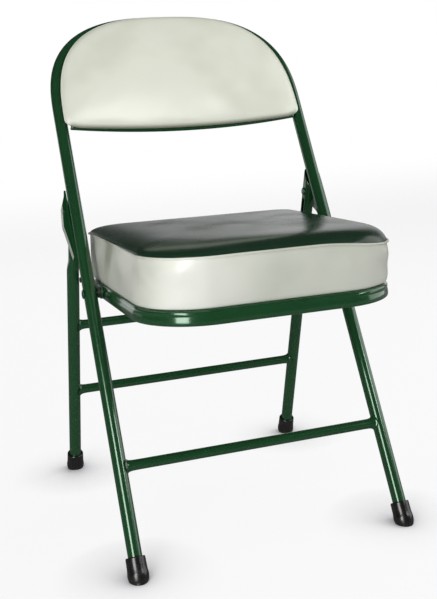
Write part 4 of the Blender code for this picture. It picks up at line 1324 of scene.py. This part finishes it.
def paper(name):
    """White paper that also shines white to the camera, less so on the floor where shadows fall."""
    finish, shader, wire, where = new_finish(name)
    rays = wire.node("ShaderNodeLightPath", output="Is Camera Ray")
    height = wire.node("ShaderNodeSeparateXYZ", None, {0: where}, output="Z")
    across = height.other("X")
    mirrored = rays.other("Is Glossy Ray") + rays.other("Is Transmission Ray")
    wall = band(height, *WALL_RISE)
    level = MIRROR_FLOOR + (MIRROR_WALL - MIRROR_FLOOR) * band(height, *MIRROR_RISE)
    level = level * (MIRROR_LEFT + (1.0 - MIRROR_LEFT) * band(across, *MIRROR_MIDDLE))
    right = band(across, *MIRROR_RIGHT)
    lifted = height - FADE_LIFT * right
    level = level * (1.0 - band(lifted, FADE_LOW, FADE_HIGH)) * (1.0 - MIRROR_DIM * right)
    near = wire.node("ShaderNodeAmbientOcclusion", {"samples": 16}, {"Distance": SHADOW_REACH},
                     output="AO")
    share = (SHADOW_KEEP + (FLOOR_WHITE - SHADOW_KEEP) * near ** SHADOW_FALL) * (1.0 - wall) + wall
    white = wire.node("ShaderNodeEmission", None, {"Color": (1.0, 1.0, 1.0, 1.0), "Strength": 1.0})
    both = wire.node("ShaderNodeMixShader", None, {0: rays * share + mirrored * level, 2: white})
    tree = wire.tree
    tree.links.new(shader.outputs[0], both.socket.node.inputs[1])
    ends = [n for n in tree.nodes if n.type == 'OUTPUT_MATERIAL']
    tree.links.new(both.socket, ends[0].inputs["Surface"])
    feed(shader, Base_Color=mix(mirrored, PAPER, PAPER_MIRRORED), Roughness=0.9,
         Specular_IOR_Level=0.0)
    return finish


floor = surface("sweep", sweep_grid(), loop=(False, False))
floor.data.materials.append(paper("paper"))

SKY_DIFFUSE = 0.13
SKY_GLOSSY = 0.03
world = bpy.data.worlds.new("studio")
bpy.context.scene.world = world
world.use_nodes = True
sky = Wire(world.node_tree)
sky_rays = sky.node("ShaderNodeLightPath", output="Is Camera Ray")
level = SKY_DIFFUSE + (1.0 - SKY_DIFFUSE) * sky_rays
level = level + (SKY_GLOSSY - SKY_DIFFUSE) * sky_rays.other("Is Glossy Ray")
backing = world.node_tree.nodes["Background"]
backing.inputs["Color"].default_value = (1.0, 1.0, 1.0, 1.0)
world.node_tree.links.new(level.socket, backing.inputs["Strength"])


def lamp(name, at, target, wide, high, power, glossy=True):
    """Soft rectangle of light at a place, facing a target, all in metres and watts."""
    data = bpy.data.lights.new(name, 'AREA')
    data.shape = 'RECTANGLE'
    data.size = wide
    data.size_y = high
    data.energy = power
    made = link_in(name, data)
    made.location = at
    made.rotation_euler = (Vector(at) - Vector(target)).to_track_quat('Z', 'Y').to_euler()
    made.visible_camera = False
    made.visible_glossy = glossy
    return made


SEAT_MIDDLE = (0.0, 0.0, 0.42)
lamp("left_key", (-1.47, -1.73, 0.82), (-0.1, -0.1, 0.45), 0.80, 1.6, 31.0)
lamp("right_high", (1.9, 0.0, 2.2), SEAT_MIDDLE, 1.0, 1.0, 10.0, glossy=False)
lamp("right_wall", (2.1, -0.3, 1.05), SEAT_MIDDLE, 2.0, 2.0, 17.0)
lamp("right_front", (1.5, -1.5, 1.36), SEAT_MIDDLE, 0.45, 0.35, 4.5)
strip = lamp("pad_strip", (0.15, -1.0, 1.42), (-0.12, 0.13, 0.65), 0.7, 0.20, 4.2)
strip_lights = bpy.data.collections.new("strip_lights")
strip_lights.objects.link(pad)
strip.light_linking.receiver_collection = strip_lights
lamp("above_fill", (0.0, -0.3, 2.9), SEAT_MIDDLE, 2.6, 2.6, 8.0, glossy=False)
lamp("back_fill", (0.4, 2.3, 1.7), SEAT_MIDDLE, 1.5, 1.5, 12.0, glossy=False)
lamp("left_card", (-0.85, 2.0, 0.40), (-0.19, -0.12, 0.38), 0.5, 0.5, 0.5)
print("studio ready")

# %% [markdown]
# ## Finish
# The view transform is plain, so colours come out as written.

# %% Finish
bpy.context.scene.view_settings.view_transform = 'Standard'
